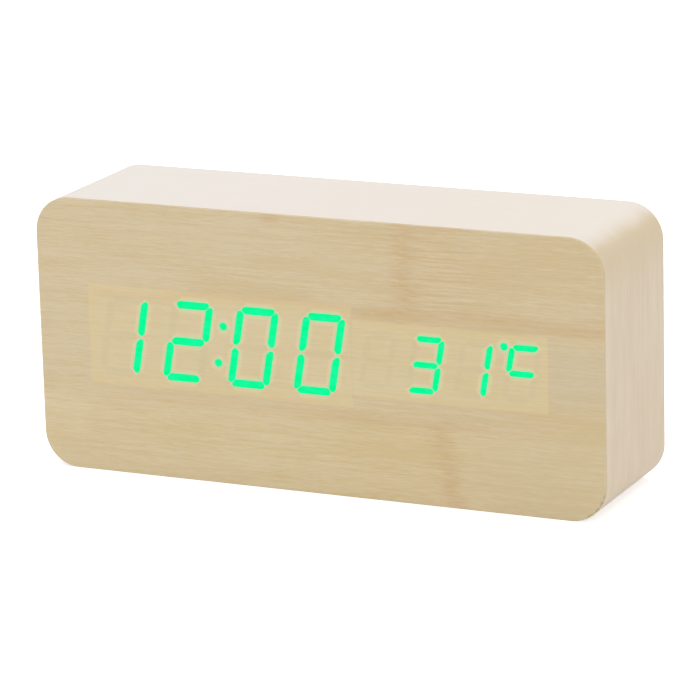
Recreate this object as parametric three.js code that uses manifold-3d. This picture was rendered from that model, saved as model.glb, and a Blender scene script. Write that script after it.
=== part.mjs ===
// A bedside clock in a wood-look block, with its display shining through a film on the front.
// Sizes are in millimetres. X runs along the front, Y from the front to the back, and Z up.
// The origin is in the middle of the underside.

import * as THREE from "three";
import { mergeVertices } from "three/addons/utils/BufferGeometryUtils.js";
import Module from "manifold-3d";

const wasm = await Module();
wasm.setup();

// Wooden block
const WIDTH = 150;
const HEIGHT = 69;
const DEPTH = 40;
const CORNER_RADIUS = 9;
const EDGE_ROUND = 0.4;
const SLEEVE_WALL = 5;
const FILM_THICKNESS = 0.6;
const FRONT_BOARD = 4;
const BACK_BOARD = 8;
const BACK_INSET = 0.5;
const LEAST_RADIUS = 1;

// Clearances: flat seats, glued boards, loose fits and running fits
const SEAT = 0.1;
const BOARD_FIT = 0.25;
const MODULE_FIT = 0.3;
const GUIDE_FIT = 0.2;
const PANEL_FIT = 0.3;
const CUT_FIT = 0.4;
const DOOR_FIT = 0.25;
const CELL_FIT = 0.3;
const CRADLE_FIT = 0.4;
const KEY_FIT = 0.25;
const SCREW_FIT = 0.2;

// Digits, measured between the centre lines of their bars
const DIGITS = 4;
const SLANT_DEGREES = 10;
const CLOCK_DIGIT_HEIGHT = 18.5;
const CLOCK_DIGIT_WIDTH = 9.3;
const CLOCK_STROKE = 1.9;
const CLOCK_PITCH = 17.7;
const COLON_DIAMETER = 2;
const TEMPERATURE_DIGIT_HEIGHT = 12.8;
const TEMPERATURE_DIGIT_WIDTH = 6.8;
const TEMPERATURE_STROKE = 1.5;
const TEMPERATURE_PITCH = 12.4;
const DEGREE_DIAMETER = 1.9;
const DEGREE_SHIFT = 0.7;
const BAR_GAP = 0.45;
const BAR_POINT = 0.7;

// Display modules and their circuit board
const DISPLAY_SHIFT = 0.25;
const DISPLAY_RISE = 0.7;
const MODULE_SIDE = 1.3;
const MODULE_TOP = 2.4;
const MODULE_DEPTH = 7;
const MODULE_RIM = 0.9;
const GUIDE_SLAB = 0.8;
const LED_END = 0.6;
const LED_LENGTH = 1;
const LED_HEIGHT = 0.5;
const CIRCUIT_THICKNESS = 1.6;
const CIRCUIT_EDGE = 1;
const CIRCUIT_STRIP = 8;
const CIRCUIT_RADIUS = 1.5;

// Screws, with the skin of board that stays in front of their points
const SCREW_SHANK = 2.4;
const SCREW_HEAD = 4.8;
const SCREW_HEAD_HEIGHT = 1.3;
const SCREW_BITE = 4;
const SPACER_WALL = 1.6;
const PILOT_SKIN = 1;

// Electronics on the back of the display board
const CHIP_LENGTH = 18;
const CHIP_WIDTH = 7.5;
const CHIP_HEIGHT = 2.4;
const CHIP_LEGS = 14;
const CHIP_LEG_PITCH = 1.27;
const CHIP_LEG_WIDTH = 0.45;
const CHIP_LEG_HEIGHT = 0.8;
const CHIP_LEG_REACH = 1.4;
const CRYSTAL_LENGTH = 11;
const CRYSTAL_WIDTH = 4.6;
const CRYSTAL_HEIGHT = 3.5;
const COIN_DIAMETER = 20;
const COIN_HEIGHT = 3.2;
const HOLDER_WALL = 1.5;
const HOLDER_FLOOR = 1;
const HOLDER_NOTCH = 9;
const CAPACITOR_DIAMETER = 6.3;
const CAPACITOR_HEIGHT = 5.4;
const CAPACITOR_BASE = 0.8;
const BUZZER_DIAMETER = 12;
const BUZZER_HEIGHT = 5.5;
const BUZZER_PORT = 2;
const BUZZER_PORT_DEPTH = 1.5;
const MICROPHONE_DIAMETER = 6;
const MICROPHONE_HEIGHT = 4.5;
const MICROPHONE_PORT = 4;
const MICROPHONE_PORT_DEPTH = 0.4;
const BEAD_DIAMETER = 2.6;
const BEAD_LENGTH = 3.6;
const BEAD_LEG = 0.6;
const BEAD_LEG_PITCH = 1.3;
const BEAD_LEG_LENGTH = 3;

// Rear panel, set in a rebate of the back board
const PANEL_RECESS = 1;
const PANEL_THICKNESS = 2;
const PANEL_RADIUS = 4;
const TUB_RADIUS = 2;
const LEDGE_SIDE = 7;
const LEDGE_TOP = 3;
const COUNTERBORE_DEPTH = 1.1;

// Battery bay, its cells and contacts
const CELLS = 3;
const CELL_DIAMETER = 10.5;
const CELL_LENGTH = 44.5;
const CELL_EDGE = 0.6;
const NUB_DIAMETER = 3.8;
const NUB_LENGTH = 1;
const CELL_GAP = 0.4;
const BAY_WALL = 2;
const BAY_FLOOR = 1.5;
const CRADLE_RISE = 2.5;
const CRADLE_END = 1;
const CONTACT_THICKNESS = 0.5;
const CONTACT_SIZE = 7.6;
const TAIL_WIDTH = 2;
const TAIL_LENGTH = 1.5;
const SPRING_LENGTH = 4.8;
const SPRING_BASE = 7;
const SPRING_TIP = 4.4;
const SPRING_WIRE = 0.6;
const SPRING_TURNS = 3.5;

// Battery door, hooked in at its top edge
const DOOR_LAP = 0.9;
const DOOR_RADIUS = 1;
const TAB_WIDTH = 5;
const TAB_SPREAD = 30;
const TAB_REACH = 1;
const TAB_ROOT = 1.6;
const TAB_THICKNESS = 1.2;
const TAB_CLEARANCE = 0.4;
const LATCH_WIDTH = 9;
const LATCH_SLIT = 0.8;
const LATCH_LENGTH = 6;
const LATCH_NIB = 1.4;
const LATCH_NIB_THICKNESS = 0.9;
const LATCH_NIB_GAP = 0.5;
const GRIP_RIBS = 3;
const GRIP_RIB_WIDTH = 0.7;
const GRIP_RIB_HEIGHT = 0.4;
const GRIP_RIB_PITCH = 1.5;
const SCOOP_WIDTH = 11;
const SCOOP_REACH = 2.2;
const SCOOP_DEPTH = 0.9;

// Keys, switches, their circuit board and the supply socket
const KEYS = ["set", "up", "down"];
const KEY_DIAMETER = 7;
const KEY_PITCH = 12;
const KEY_RISE = 7;
const KEY_PROUD = 1.2;
const KEY_EDGE = 0.5;
const KEY_FLANGE = 1;
const KEY_FLANGE_RIM = 1;
const KEY_STEM = 0.6;
const KEY_STEM_DIAMETER = 4;
const KEY_TRAVEL = 0.5;
const PLUNGER_DIAMETER = 3.4;
const PLUNGER_LENGTH = 3.5;
const PLUNGER_ROOT = 1.2;
const SWITCH_SIZE = 6;
const SWITCH_HEIGHT = 3.5;
const KEY_BOARD_EDGE = 8;
const KEY_BOARD_HEIGHT = 30;
const KEY_BOARD_GAP = 1.5;
const BOSS_WALL = 1.8;
const BOSS_INSET = 5;
const SOCKET_DIAMETER = 7;
const SOCKET_BASE = 8.4;
const SOCKET_BASE_HEIGHT = 2;
const SOCKET_BORE = 3.9;
const SOCKET_PIN = 1.3;
const SOCKET_PIN_SETBACK = 1;
const SOCKET_MOUTH = 5.4;
const SOCKET_INSET = 7;

// Wiring
const LEAD_DIAMETER = 1.3;
const LEAD_SWAY = 3;
const RIBBON_WIDTH = 8;
const RIBBON_THICKNESS = 0.8;
const RIBBON_SWAY = 6;
const RIBBON_RISE = 4;

// Facets
const CASE_CORNER_STEPS = 6;
const CORNER_STEPS = 2;
const ROUND_SIDES = 20;
const SMALL_SIDES = 8;
const WIRE_SIDES = 6;
const SPRING_SIDES = 5;
const SPRING_STEPS = 8;
const RIBBON_STEPS = 10;
const MERGE_DISTANCE = 1e-4;
const OVERCUT = 1;

const FINISHES = {
  bamboo: { color: 0xd4be95, roughness: 0.5, metalness: 0 },
  fibreboard: { color: 0xb08d62, roughness: 0.85, metalness: 0 },
  whitePlastic: { color: 0xe9e6dc, roughness: 0.5, metalness: 0 },
  diffuser: { color: 0xd8e6d6, roughness: 0.3, metalness: 0 },
  circuit: { color: 0x1f5a34, roughness: 0.45, metalness: 0 },
  blackPlastic: { color: 0x1b1b1c, roughness: 0.55, metalness: 0 },
  greyPlastic: { color: 0x55575a, roughness: 0.5, metalness: 0 },
  rubber: { color: 0x2a2a2c, roughness: 0.8, metalness: 0 },
  steel: { color: 0xb9bcc0, roughness: 0.3, metalness: 1 },
  nickel: { color: 0xcfc9bb, roughness: 0.25, metalness: 1 },
  tin: { color: 0xc4c8cc, roughness: 0.35, metalness: 1 },
  cell: { color: 0x3f4348, roughness: 0.35, metalness: 0.6 },
  redWire: { color: 0xb3201f, roughness: 0.5, metalness: 0 },
  blackWire: { color: 0x202022, roughness: 0.5, metalness: 0 },
  ribbon: { color: 0xa9adb3, roughness: 0.5, metalness: 0 },
};

// A closed geometry as a solid that can be joined and cut
function solid(geometry) {
  const bare = geometry.clone();
  bare.deleteAttribute("normal");
  bare.deleteAttribute("uv");
  const merged = mergeVertices(bare, MERGE_DISTANCE);
  const corners = merged.index.array;
  const triangles = [];
  for (let i = 0; i < corners.length; i += 3) {
    const [a, b, c] = corners.slice(i, i + 3);
    if (a !== b && b !== c && c !== a) {
      triangles.push(a, b, c);
    }
  }
  const vertProperties = Float32Array.from(merged.getAttribute("position").array);
  const triVerts = Uint32Array.from(triangles);
  return new wasm.Manifold(new wasm.Mesh({ numProp: 3, vertProperties, triVerts }));
}

function fuse(...geometries) {
  return geometries.map(solid).reduce((whole, part) => whole.add(part));
}

function cut(body, ...geometries) {
  return geometries.map(solid).reduce((rest, part) => rest.subtract(part), body);
}

function geometryOf(body) {
  const mesh = body.getMesh();
  const geometry = new THREE.BufferGeometry();
  geometry.setAttribute("position", new THREE.BufferAttribute(mesh.vertProperties, mesh.numProp));
  geometry.setIndex(new THREE.BufferAttribute(mesh.triVerts, 1));
  geometry.computeVertexNormals();
  return geometry;
}

function piece(name, body, finish) {
  const mesh = new THREE.Mesh(geometryOf(body), new THREE.MeshStandardMaterial(finish));
  mesh.name = name;
  return mesh;
}

function groupAt(x, y, z, ...children) {
  const group = new THREE.Group();
  group.position.set(x, y, z);
  if (children.length > 0) {
    group.add(...children);
  }
  return group;
}

// An outline that stands upright, its first direction along X and its second along Z
function roundedRectangle(width, height, radius) {
  const x = width / 2 - radius;
  const z = height / 2 - radius;
  const outline = new THREE.Shape();
  outline.absarc(x, z, radius, 0, Math.PI / 2);
  outline.absarc(-x, z, radius, Math.PI / 2, Math.PI);
  outline.absarc(-x, -z, radius, Math.PI, 1.5 * Math.PI);
  outline.absarc(x, -z, radius, 1.5 * Math.PI, 2 * Math.PI);
  return outline;
}

// An upright outline given its thickness from y0 to y1
function plate(outline, y0, y1, curveSegments = CORNER_STEPS) {
  const options = { depth: y1 - y0, bevelEnabled: false, curveSegments };
  const geometry = new THREE.ExtrudeGeometry(outline, options);
  return geometry.rotateX(Math.PI / 2).translate(0, y1, 0);
}

function box(x0, x1, y0, y1, z0, z1) {
  const geometry = new THREE.BoxGeometry(x1 - x0, y1 - y0, z1 - z0);
  return geometry.translate((x0 + x1) / 2, (y0 + y1) / 2, (z0 + z1) / 2);
}

// A round rod from y0 to y1
function rod(diameter, y0, y1, sides = ROUND_SIDES) {
  const geometry = new THREE.CylinderGeometry(diameter / 2, diameter / 2, y1 - y0, sides);
  return geometry.translate(0, (y0 + y1) / 2, 0);
}

// A turned shape about Y, from pairs of radius and place along Y
function turned(profile, sides = ROUND_SIDES) {
  const points = profile.map(([radius, y]) => new THREE.Vector2(radius, y));
  return new THREE.LatheGeometry(points, sides);
}

// A screw whose head rests on y = 0 and whose shank points to -Y
function screw(shankLength) {
  const head = SCREW_HEAD / 2;
  const shank = SCREW_SHANK / 2;
  const crown = SCREW_HEAD_HEIGHT / 2;
  return turned([
    [0, -shankLength],
    [shank, -shankLength + shank],
    [shank, 0],
    [head, 0],
    [head, SCREW_HEAD_HEIGHT - crown],
    [head - crown, SCREW_HEAD_HEIGHT],
    [0, SCREW_HEAD_HEIGHT],
  ], SMALL_SIDES);
}

// Places that several pieces share, in the block's own frame about its centre
const boreWidth = WIDTH - 2 * SLEEVE_WALL;
const boreHeight = HEIGHT - 2 * SLEEVE_WALL;
const boreRadius = Math.max(CORNER_RADIUS - SLEEVE_WALL, LEAST_RADIUS);
const boardWidth = boreWidth - 2 * BOARD_FIT;
const boardHeight = boreHeight - 2 * BOARD_FIT;
const boardRadius = Math.max(boreRadius - BOARD_FIT, LEAST_RADIUS / 2);
const filmBack = -DEPTH / 2 + FILM_THICKNESS;
const panelFace = DEPTH / 2 - BACK_INSET - PANEL_RECESS;
const screwHole = SCREW_SHANK + 2 * SCREW_FIT;
const slantRise = Math.tan(THREE.MathUtils.degToRad(SLANT_DEGREES));

// The block with both its rims eased
function easedBlock() {
  const options = {
    depth: DEPTH - 2 * EDGE_ROUND,
    bevelEnabled: true,
    bevelThickness: EDGE_ROUND,
    bevelSize: EDGE_ROUND,
    bevelOffset: -EDGE_ROUND,
    bevelSegments: 2,
    curveSegments: CASE_CORNER_STEPS,
  };
  const geometry = new THREE.ExtrudeGeometry(roundedRectangle(WIDTH, HEIGHT, CORNER_RADIUS), options);
  return geometry.rotateX(Math.PI / 2).translate(0, DEPTH / 2 - EDGE_ROUND, 0);
}

function slice(y0, y1) {
  return box(-WIDTH, WIDTH, y0, y1, -HEIGHT, HEIGHT);
}

function makeFilm() {
  const film = solid(easedBlock()).intersect(solid(slice(-DEPTH, filmBack)));
  return piece("front_film", film, FINISHES.bamboo);
}

function makeSleeve() {
  const outside = solid(easedBlock()).intersect(solid(slice(filmBack + SEAT, DEPTH)));
  const boreOutline = roundedRectangle(boreWidth, boreHeight, boreRadius);
  const bore = plate(boreOutline, -DEPTH, DEPTH, CASE_CORNER_STEPS);
  return piece("case_sleeve", cut(outside, bore), FINISHES.bamboo);
}

// Display: each module has four slanted digits of seven bars, and dots between them.
// Its own frame has the face at y = 0, with Y running into the block.
const clockDigits = {
  height: CLOCK_DIGIT_HEIGHT,
  width: CLOCK_DIGIT_WIDTH,
  stroke: CLOCK_STROKE,
  pitch: CLOCK_PITCH,
  dots: [1, -1].map((side) => ({ x: 0, z: (side * CLOCK_DIGIT_HEIGHT) / 4, diameter: COLON_DIAMETER })),
};
const degreeDot = {
  x: TEMPERATURE_PITCH + DEGREE_SHIFT,
  z: TEMPERATURE_DIGIT_HEIGHT / 2,
  diameter: DEGREE_DIAMETER,
};
const temperatureDigits = {
  height: TEMPERATURE_DIGIT_HEIGHT,
  width: TEMPERATURE_DIGIT_WIDTH,
  stroke: TEMPERATURE_STROKE,
  pitch: TEMPERATURE_PITCH,
  dots: [degreeDot],
};

function moduleWidth(digits) {
  const slope = digits.height * slantRise;
  return (DIGITS - 1) * digits.pitch + digits.width + slope + digits.stroke + 2 * MODULE_SIDE;
}

function moduleHeight(digits) {
  return digits.height + digits.stroke + 2 * MODULE_TOP;
}

const clockWidth = moduleWidth(clockDigits);
const temperatureWidth = moduleWidth(temperatureDigits);
const displayWidth = clockWidth + MODULE_FIT + temperatureWidth;
const clockCentre = (clockWidth - displayWidth) / 2;
const temperatureCentre = (displayWidth - temperatureWidth) / 2;
const displayModules = [
  { name: "clock", digits: clockDigits, centre: clockCentre },
  { name: "temperature", digits: temperatureDigits, centre: temperatureCentre },
];
const pocketDepth = GUIDE_FIT + GUIDE_SLAB + GUIDE_FIT + LED_HEIGHT;
const faceDepth = MODULE_DEPTH - pocketDepth;

// The seven bars of one digit, each with its middle, its length between crossings and its direction
function digitBars(height, width) {
  const up = height / 2;
  const out = width / 2;
  const level = [up, 0, -up].map((z) => ({ x: 0, z, length: width, upright: false }));
  const upright = [out, -out].flatMap((x) => [
    { x, z: up / 2, length: up, upright: true },
    { x, z: -up / 2, length: up, upright: true },
  ]);
  return [...level, ...upright];
}

// Every bar and dot of a module, before the slant
function lightPlaces(digits) {
  const bars = [];
  for (let i = 0; i < DIGITS; i += 1) {
    const middle = (i - (DIGITS - 1) / 2) * digits.pitch;
    for (const bar of digitBars(digits.height, digits.width)) {
      bars.push({ ...bar, x: middle + bar.x, stroke: digits.stroke });
    }
  }
  return [...bars, ...digits.dots];
}

function barOutline(bar, trim) {
  const tip = bar.length / 2 - BAR_GAP - trim;
  const half = bar.stroke / 2 - trim;
  const shoulder = tip - half * BAR_POINT;
  const corners = [
    [-tip, 0],
    [-shoulder, -half],
    [shoulder, -half],
    [tip, 0],
    [shoulder, half],
    [-shoulder, half],
  ];
  const points = corners.map(([along, across]) =>
    bar.upright ? new THREE.Vector2(across, along) : new THREE.Vector2(along, across));
  return new THREE.Shape(points);
}

// A light well from y0 to y1, narrowing evenly from the face to the LED, leant over with its digit
function lightWell(place, y0, y1, trim) {
  const geometry = place.diameter
    ? rod(place.diameter - 2 * trim, y0, y1, SMALL_SIDES)
    : plate(barOutline(place, trim), y0, y1);
  const position = geometry.getAttribute("position");
  for (let i = 0; i < position.count; i += 1) {
    const share = 1 - ((1 - LED_END) * position.getY(i)) / faceDepth;
    position.setX(i, position.getX(i) * share);
    position.setZ(i, position.getZ(i) * share);
  }
  const lean = new THREE.Matrix4().makeShear(0, 0, 0, 0, slantRise, 0);
  return geometry.translate(place.x, 0, place.z).applyMatrix4(lean);
}

function pocketOutline(digits, fit) {
  const inset = 2 * (MODULE_RIM + fit);
  return roundedRectangle(moduleWidth(digits) - inset, moduleHeight(digits) - inset, LEAST_RADIUS);
}

function makeReflector(name, digits) {
  const outline = roundedRectangle(moduleWidth(digits), moduleHeight(digits), LEAST_RADIUS);
  const shell = solid(plate(outline, 0, MODULE_DEPTH));
  const pocket = plate(pocketOutline(digits, 0), faceDepth, MODULE_DEPTH + OVERCUT);
  const wells = lightPlaces(digits).map((place) => lightWell(place, -OVERCUT, faceDepth + OVERCUT, 0));
  return piece(name, cut(shell, pocket, ...wells), FINISHES.whitePlastic);
}

function makeLightGuide(name, digits) {
  const slabFace = faceDepth + GUIDE_FIT;
  const slab = plate(pocketOutline(digits, GUIDE_FIT), slabFace, slabFace + GUIDE_SLAB);
  const slabMiddle = slabFace + GUIDE_SLAB / 2;
  const bars = lightPlaces(digits).map((place) => lightWell(place, SEAT, slabMiddle, GUIDE_FIT));
  return piece(name, fuse(slab, ...bars), FINISHES.diffuser);
}

// Display frame: y = 0 on the back of the film, z = 0 at the middle of the digits
const circuitWidth = displayWidth + 2 * CIRCUIT_EDGE;
const circuitHeight = moduleHeight(clockDigits) + 2 * CIRCUIT_STRIP;
const circuitFront = SEAT + MODULE_DEPTH + SEAT;
const circuitBack = circuitFront + CIRCUIT_THICKNESS;
const boardBack = SEAT + FRONT_BOARD;
const circuitScrews = [-1, 1].flatMap((side) => [-1, 1].map((end) => ({
  x: side * (circuitWidth / 2 - CIRCUIT_STRIP / 2),
  z: end * (circuitHeight / 2 - CIRCUIT_STRIP / 2),
})));

function makeFrontBoard() {
  const outline = roundedRectangle(boardWidth, boardHeight, boardRadius);
  const body = plate(outline, SEAT, boardBack, CASE_CORNER_STEPS);
  const board = solid(body.translate(-DISPLAY_SHIFT, 0, -DISPLAY_RISE));
  const windows = displayModules.map(({ digits, centre }) => {
    const opening = roundedRectangle(
      moduleWidth(digits) + 2 * MODULE_FIT,
      moduleHeight(digits) + 2 * MODULE_FIT,
      LEAST_RADIUS,
    );
    return plate(opening, SEAT - OVERCUT, boardBack + OVERCUT).translate(centre, 0, 0);
  });
  const pilots = circuitScrews.map(({ x, z }) =>
    rod(screwHole, SEAT + PILOT_SKIN, boardBack + OVERCUT, SMALL_SIDES).translate(x, 0, z));
  return piece("front_board", cut(board, ...windows, ...pilots), FINISHES.fibreboard);
}

// The LED chips are soldered to their board, one under each bar and dot
function makeDisplayBoard() {
  const outline = roundedRectangle(circuitWidth, circuitHeight, CIRCUIT_RADIUS);
  const half = LED_LENGTH / 2;
  const chipFront = circuitFront - LED_HEIGHT;
  const chipBack = circuitFront + CIRCUIT_THICKNESS / 2;
  const chips = displayModules.flatMap(({ digits, centre }) => lightPlaces(digits).map(({ x, z }) => {
    const middle = centre + x + z * slantRise;
    return box(middle - half, middle + half, chipFront, chipBack, z - half, z + half);
  }));
  const board = fuse(plate(outline, circuitFront, circuitBack), ...chips);
  const holes = circuitScrews.map(({ x, z }) =>
    rod(screwHole, circuitFront - OVERCUT, circuitBack + OVERCUT, SMALL_SIDES).translate(x, 0, z));
  return piece("display_board", cut(board, ...holes), FINISHES.circuit);
}

function makeCircuitFixings() {
  const spacerDiameter = screwHole + 2 * SPACER_WALL;
  const shankLength = circuitBack + SEAT - (SEAT + PILOT_SKIN + SCREW_FIT);
  return circuitScrews.map(({ x, z }, i) => {
    const tube = solid(rod(spacerDiameter, boardBack + SEAT, circuitFront - SEAT, SMALL_SIDES));
    const bore = rod(screwHole, boardBack - OVERCUT, circuitFront + OVERCUT, SMALL_SIDES);
    const spacer = piece(`display_spacer_${i + 1}`, cut(tube, bore), FINISHES.whitePlastic);
    const fixing = piece(`display_screw_${i + 1}`, solid(screw(shankLength)), FINISHES.steel);
    fixing.position.y = circuitBack + SEAT;
    return groupAt(x, 0, z, spacer, fixing);
  });
}

// Electronics, each in a frame of its own that stands on the board with Y as its height
function makeChip() {
  const end = CHIP_LENGTH / 2;
  const side = CHIP_WIDTH / 2;
  const reach = side + CHIP_LEG_REACH;
  const half = CHIP_LEG_WIDTH / 2;
  const bodies = [box(-end, end, SEAT, CHIP_HEIGHT, -side, side)];
  for (let i = 0; i < CHIP_LEGS; i += 1) {
    const x = (i - (CHIP_LEGS - 1) / 2) * CHIP_LEG_PITCH;
    bodies.push(box(x - half, x + half, SEAT, CHIP_LEG_HEIGHT, -reach, reach));
  }
  return piece("controller_chip", fuse(...bodies), FINISHES.blackPlastic);
}

function makeCrystal() {
  const straight = CRYSTAL_LENGTH / 2 - CRYSTAL_WIDTH / 2;
  const outline = new THREE.Shape();
  outline.absarc(straight, 0, CRYSTAL_WIDTH / 2, -Math.PI / 2, Math.PI / 2);
  outline.absarc(-straight, 0, CRYSTAL_WIDTH / 2, Math.PI / 2, 1.5 * Math.PI);
  return piece("crystal", solid(plate(outline, SEAT, CRYSTAL_HEIGHT)), FINISHES.tin);
}

function makeCoinHolder() {
  const pocket = COIN_DIAMETER + 2 * SCREW_FIT;
  const outside = pocket + 2 * HOLDER_WALL;
  const top = HOLDER_FLOOR + COIN_HEIGHT;
  const cup = solid(rod(outside, SEAT, top));
  const bed = rod(pocket, HOLDER_FLOOR, top + OVERCUT);
  const half = HOLDER_NOTCH / 2;
  const notch = box(-outside, -half, HOLDER_FLOOR, top + OVERCUT, -half, half);
  return piece("backup_cell_holder", cut(cup, bed, notch), FINISHES.blackPlastic);
}

function makeCoin() {
  const foot = HOLDER_FLOOR + SEAT;
  const radius = COIN_DIAMETER / 2;
  const coin = turned([
    [0, foot],
    [radius - LEAST_RADIUS, foot],
    [radius, foot + COIN_HEIGHT / 3],
    [radius, foot + COIN_HEIGHT],
    [0, foot + COIN_HEIGHT],
  ]);
  return piece("backup_cell", solid(coin), FINISHES.nickel);
}

function makeCapacitor() {
  const radius = CAPACITOR_DIAMETER / 2;
  const half = radius + SEAT;
  const base = box(-half, half, SEAT, CAPACITOR_BASE, -half, half);
  const can = rod(CAPACITOR_DIAMETER, CAPACITOR_BASE / 2, CAPACITOR_HEIGHT, SMALL_SIDES);
  return piece("filter_capacitor", fuse(base, can), FINISHES.tin);
}

// A round can with a sound port in its top
function portedCan(name, diameter, height, port, portDepth, finish) {
  const can = turned([
    [0, SEAT],
    [diameter / 2, SEAT],
    [diameter / 2, height],
    [port / 2, height],
    [port / 2, height - portDepth],
    [0, height - portDepth],
  ]);
  return piece(name, solid(can), finish);
}

function makeTemperatureSensor() {
  const middle = BEAD_LEG_LENGTH + BEAD_LENGTH / 2;
  const legs = [-1, 1].map((side) =>
    rod(BEAD_LEG, SEAT, middle, WIRE_SIDES).translate((side * BEAD_LEG_PITCH) / 2, 0, 0));
  const bead = new THREE.SphereGeometry(BEAD_DIAMETER / 2, SMALL_SIDES, WIRE_SIDES);
  bead.scale(1, BEAD_LENGTH / BEAD_DIAMETER, 1).translate(0, middle, 0);
  return piece("temperature_sensor", fuse(bead, ...legs), FINISHES.blackPlastic);
}

// Layout of the electronics on the board, from its middle and from its two ends
const circuitEnd = circuitWidth / 2;
const holderInset = COIN_DIAMETER / 2 + SCREW_FIT + HOLDER_WALL + CIRCUIT_EDGE;
const rightInset = CIRCUIT_STRIP + BUZZER_DIAMETER / 2;
const chipPlace = { x: -CHIP_LENGTH / 2 - CIRCUIT_STRIP / 2, z: 0 };
const crystalPlace = { x: chipPlace.x, z: -CHIP_WIDTH / 2 - CHIP_LEG_REACH - CRYSTAL_WIDTH };

function makeElectronics() {
  const buzzer = ["buzzer", BUZZER_DIAMETER, BUZZER_HEIGHT, BUZZER_PORT, BUZZER_PORT_DEPTH];
  const microphone = [
    "microphone",
    MICROPHONE_DIAMETER,
    MICROPHONE_HEIGHT,
    MICROPHONE_PORT,
    MICROPHONE_PORT_DEPTH,
  ];
  const lowRow = -(BUZZER_DIAMETER + MICROPHONE_DIAMETER) / 2;
  const buzzerX = circuitEnd - rightInset;
  const capacitorX = buzzerX - BUZZER_DIAMETER - CAPACITOR_DIAMETER;
  return groupAt(
    0, circuitBack, 0,
    groupAt(chipPlace.x, 0, chipPlace.z, makeChip()),
    groupAt(crystalPlace.x, 0, crystalPlace.z, makeCrystal()),
    groupAt(holderInset - circuitEnd, 0, 0, makeCoinHolder(), makeCoin()),
    groupAt(capacitorX, 0, lowRow, makeCapacitor()),
    groupAt(buzzerX, 0, BUZZER_DIAMETER / 4, portedCan(...buzzer, FINISHES.blackPlastic)),
    groupAt(buzzerX, 0, lowRow, portedCan(...microphone, FINISHES.tin)),
    groupAt(circuitEnd - BEAD_DIAMETER - CIRCUIT_EDGE, 0, 0, makeTemperatureSensor()),
  );
}

function makeDisplay() {
  return groupAt(
    DISPLAY_SHIFT, filmBack, DISPLAY_RISE,
    makeFrontBoard(),
    ...displayModules.map(({ name, digits, centre }) => groupAt(
      centre, SEAT, 0,
      makeReflector(`${name}_reflector`, digits),
      makeLightGuide(`${name}_light_guide`, digits),
    )),
    makeDisplayBoard(),
    ...makeCircuitFixings(),
    makeElectronics(),
  );
}

// Rear frame: y = 0 on the panel's outer face, with the block's inside towards -Y.
// From the left as seen from the front, it holds the battery bay and then the controls.
const contactRoom = SEAT + CONTACT_THICKNESS + SEAT;
const bayLength = contactRoom + CELL_LENGTH + SPRING_LENGTH + contactRoom;
const cellPitch = CELL_DIAMETER + CELL_GAP;
const bayHeight = (CELLS - 1) * cellPitch + CELL_DIAMETER + 2 * CELL_FIT;
const keyBoardWidth = (KEYS.length - 1) * KEY_PITCH + 2 * KEY_BOARD_EDGE;
const cutWidth = CUT_FIT + bayLength + 2 * BAY_WALL + KEY_BOARD_GAP + keyBoardWidth + KEY_BOARD_GAP;
const cutHeight = bayHeight + 2 * BAY_WALL + 2 * CUT_FIT;
const panelWidth = cutWidth + 2 * LEDGE_SIDE;
const panelHeight = cutHeight + 2 * LEDGE_TOP;
const bayLeft = -cutWidth / 2 + CUT_FIT + BAY_WALL;
const bayRight = bayLeft + bayLength;
const bayCentre = (bayLeft + bayRight) / 2;
const doorThickness = PANEL_THICKNESS - SEAT;
const cellAxis = -doorThickness - CELL_FIT - CELL_DIAMETER / 2;
const bayFloor = cellAxis - CELL_DIAMETER / 2 - CELL_FIT;
const doorWidth = bayLength + 2 * DOOR_LAP;
const doorHeight = bayHeight + 2 * DOOR_LAP;
const doorTop = doorHeight / 2;
const tabTop = -PANEL_THICKNESS - TAB_CLEARANCE;
const tabBottom = tabTop - TAB_THICKNESS;
const tabPlaces = [bayCentre - TAB_SPREAD / 2, bayCentre + TAB_SPREAD / 2];
const keyBoardCentre = bayRight + BAY_WALL + KEY_BOARD_GAP + keyBoardWidth / 2;
const keyPlaces = KEYS.map((name, i) => ({
  name,
  x: keyBoardCentre + ((KEYS.length - 1) / 2 - i) * KEY_PITCH,
  z: KEY_RISE,
}));
const bossDiameter = screwHole + 2 * BOSS_WALL;
const bossPlaces = [-1, 0].map((step) => ({
  x: keyBoardCentre + step * (keyBoardWidth / 2 - BOSS_INSET),
  z: BOSS_INSET - KEY_BOARD_HEIGHT / 2,
}));
const socketPlace = {
  x: keyBoardCentre + keyBoardWidth / 2 - SOCKET_INSET,
  z: SOCKET_INSET - KEY_BOARD_HEIGHT / 2,
};
const panelScrews = [-1, 1].flatMap((side) => [-1, 1].map((end) => ({
  x: (side * (panelWidth - LEDGE_SIDE)) / 2,
  z: end * (panelHeight / 2 - LEDGE_SIDE / 2),
})));

// Heights along Y of the stack behind a key
const flangeTop = -PANEL_THICKNESS - SEAT;
const flangeBottom = flangeTop - KEY_FLANGE;
const stemEnd = flangeBottom - KEY_STEM;
const plungerTop = stemEnd - SEAT;
const switchTop = plungerTop - PLUNGER_LENGTH;
const switchFoot = switchTop - SWITCH_HEIGHT;
const keyBoardBack = switchFoot - SEAT;
const keyBoardFront = keyBoardBack - CIRCUIT_THICKNESS;

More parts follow.
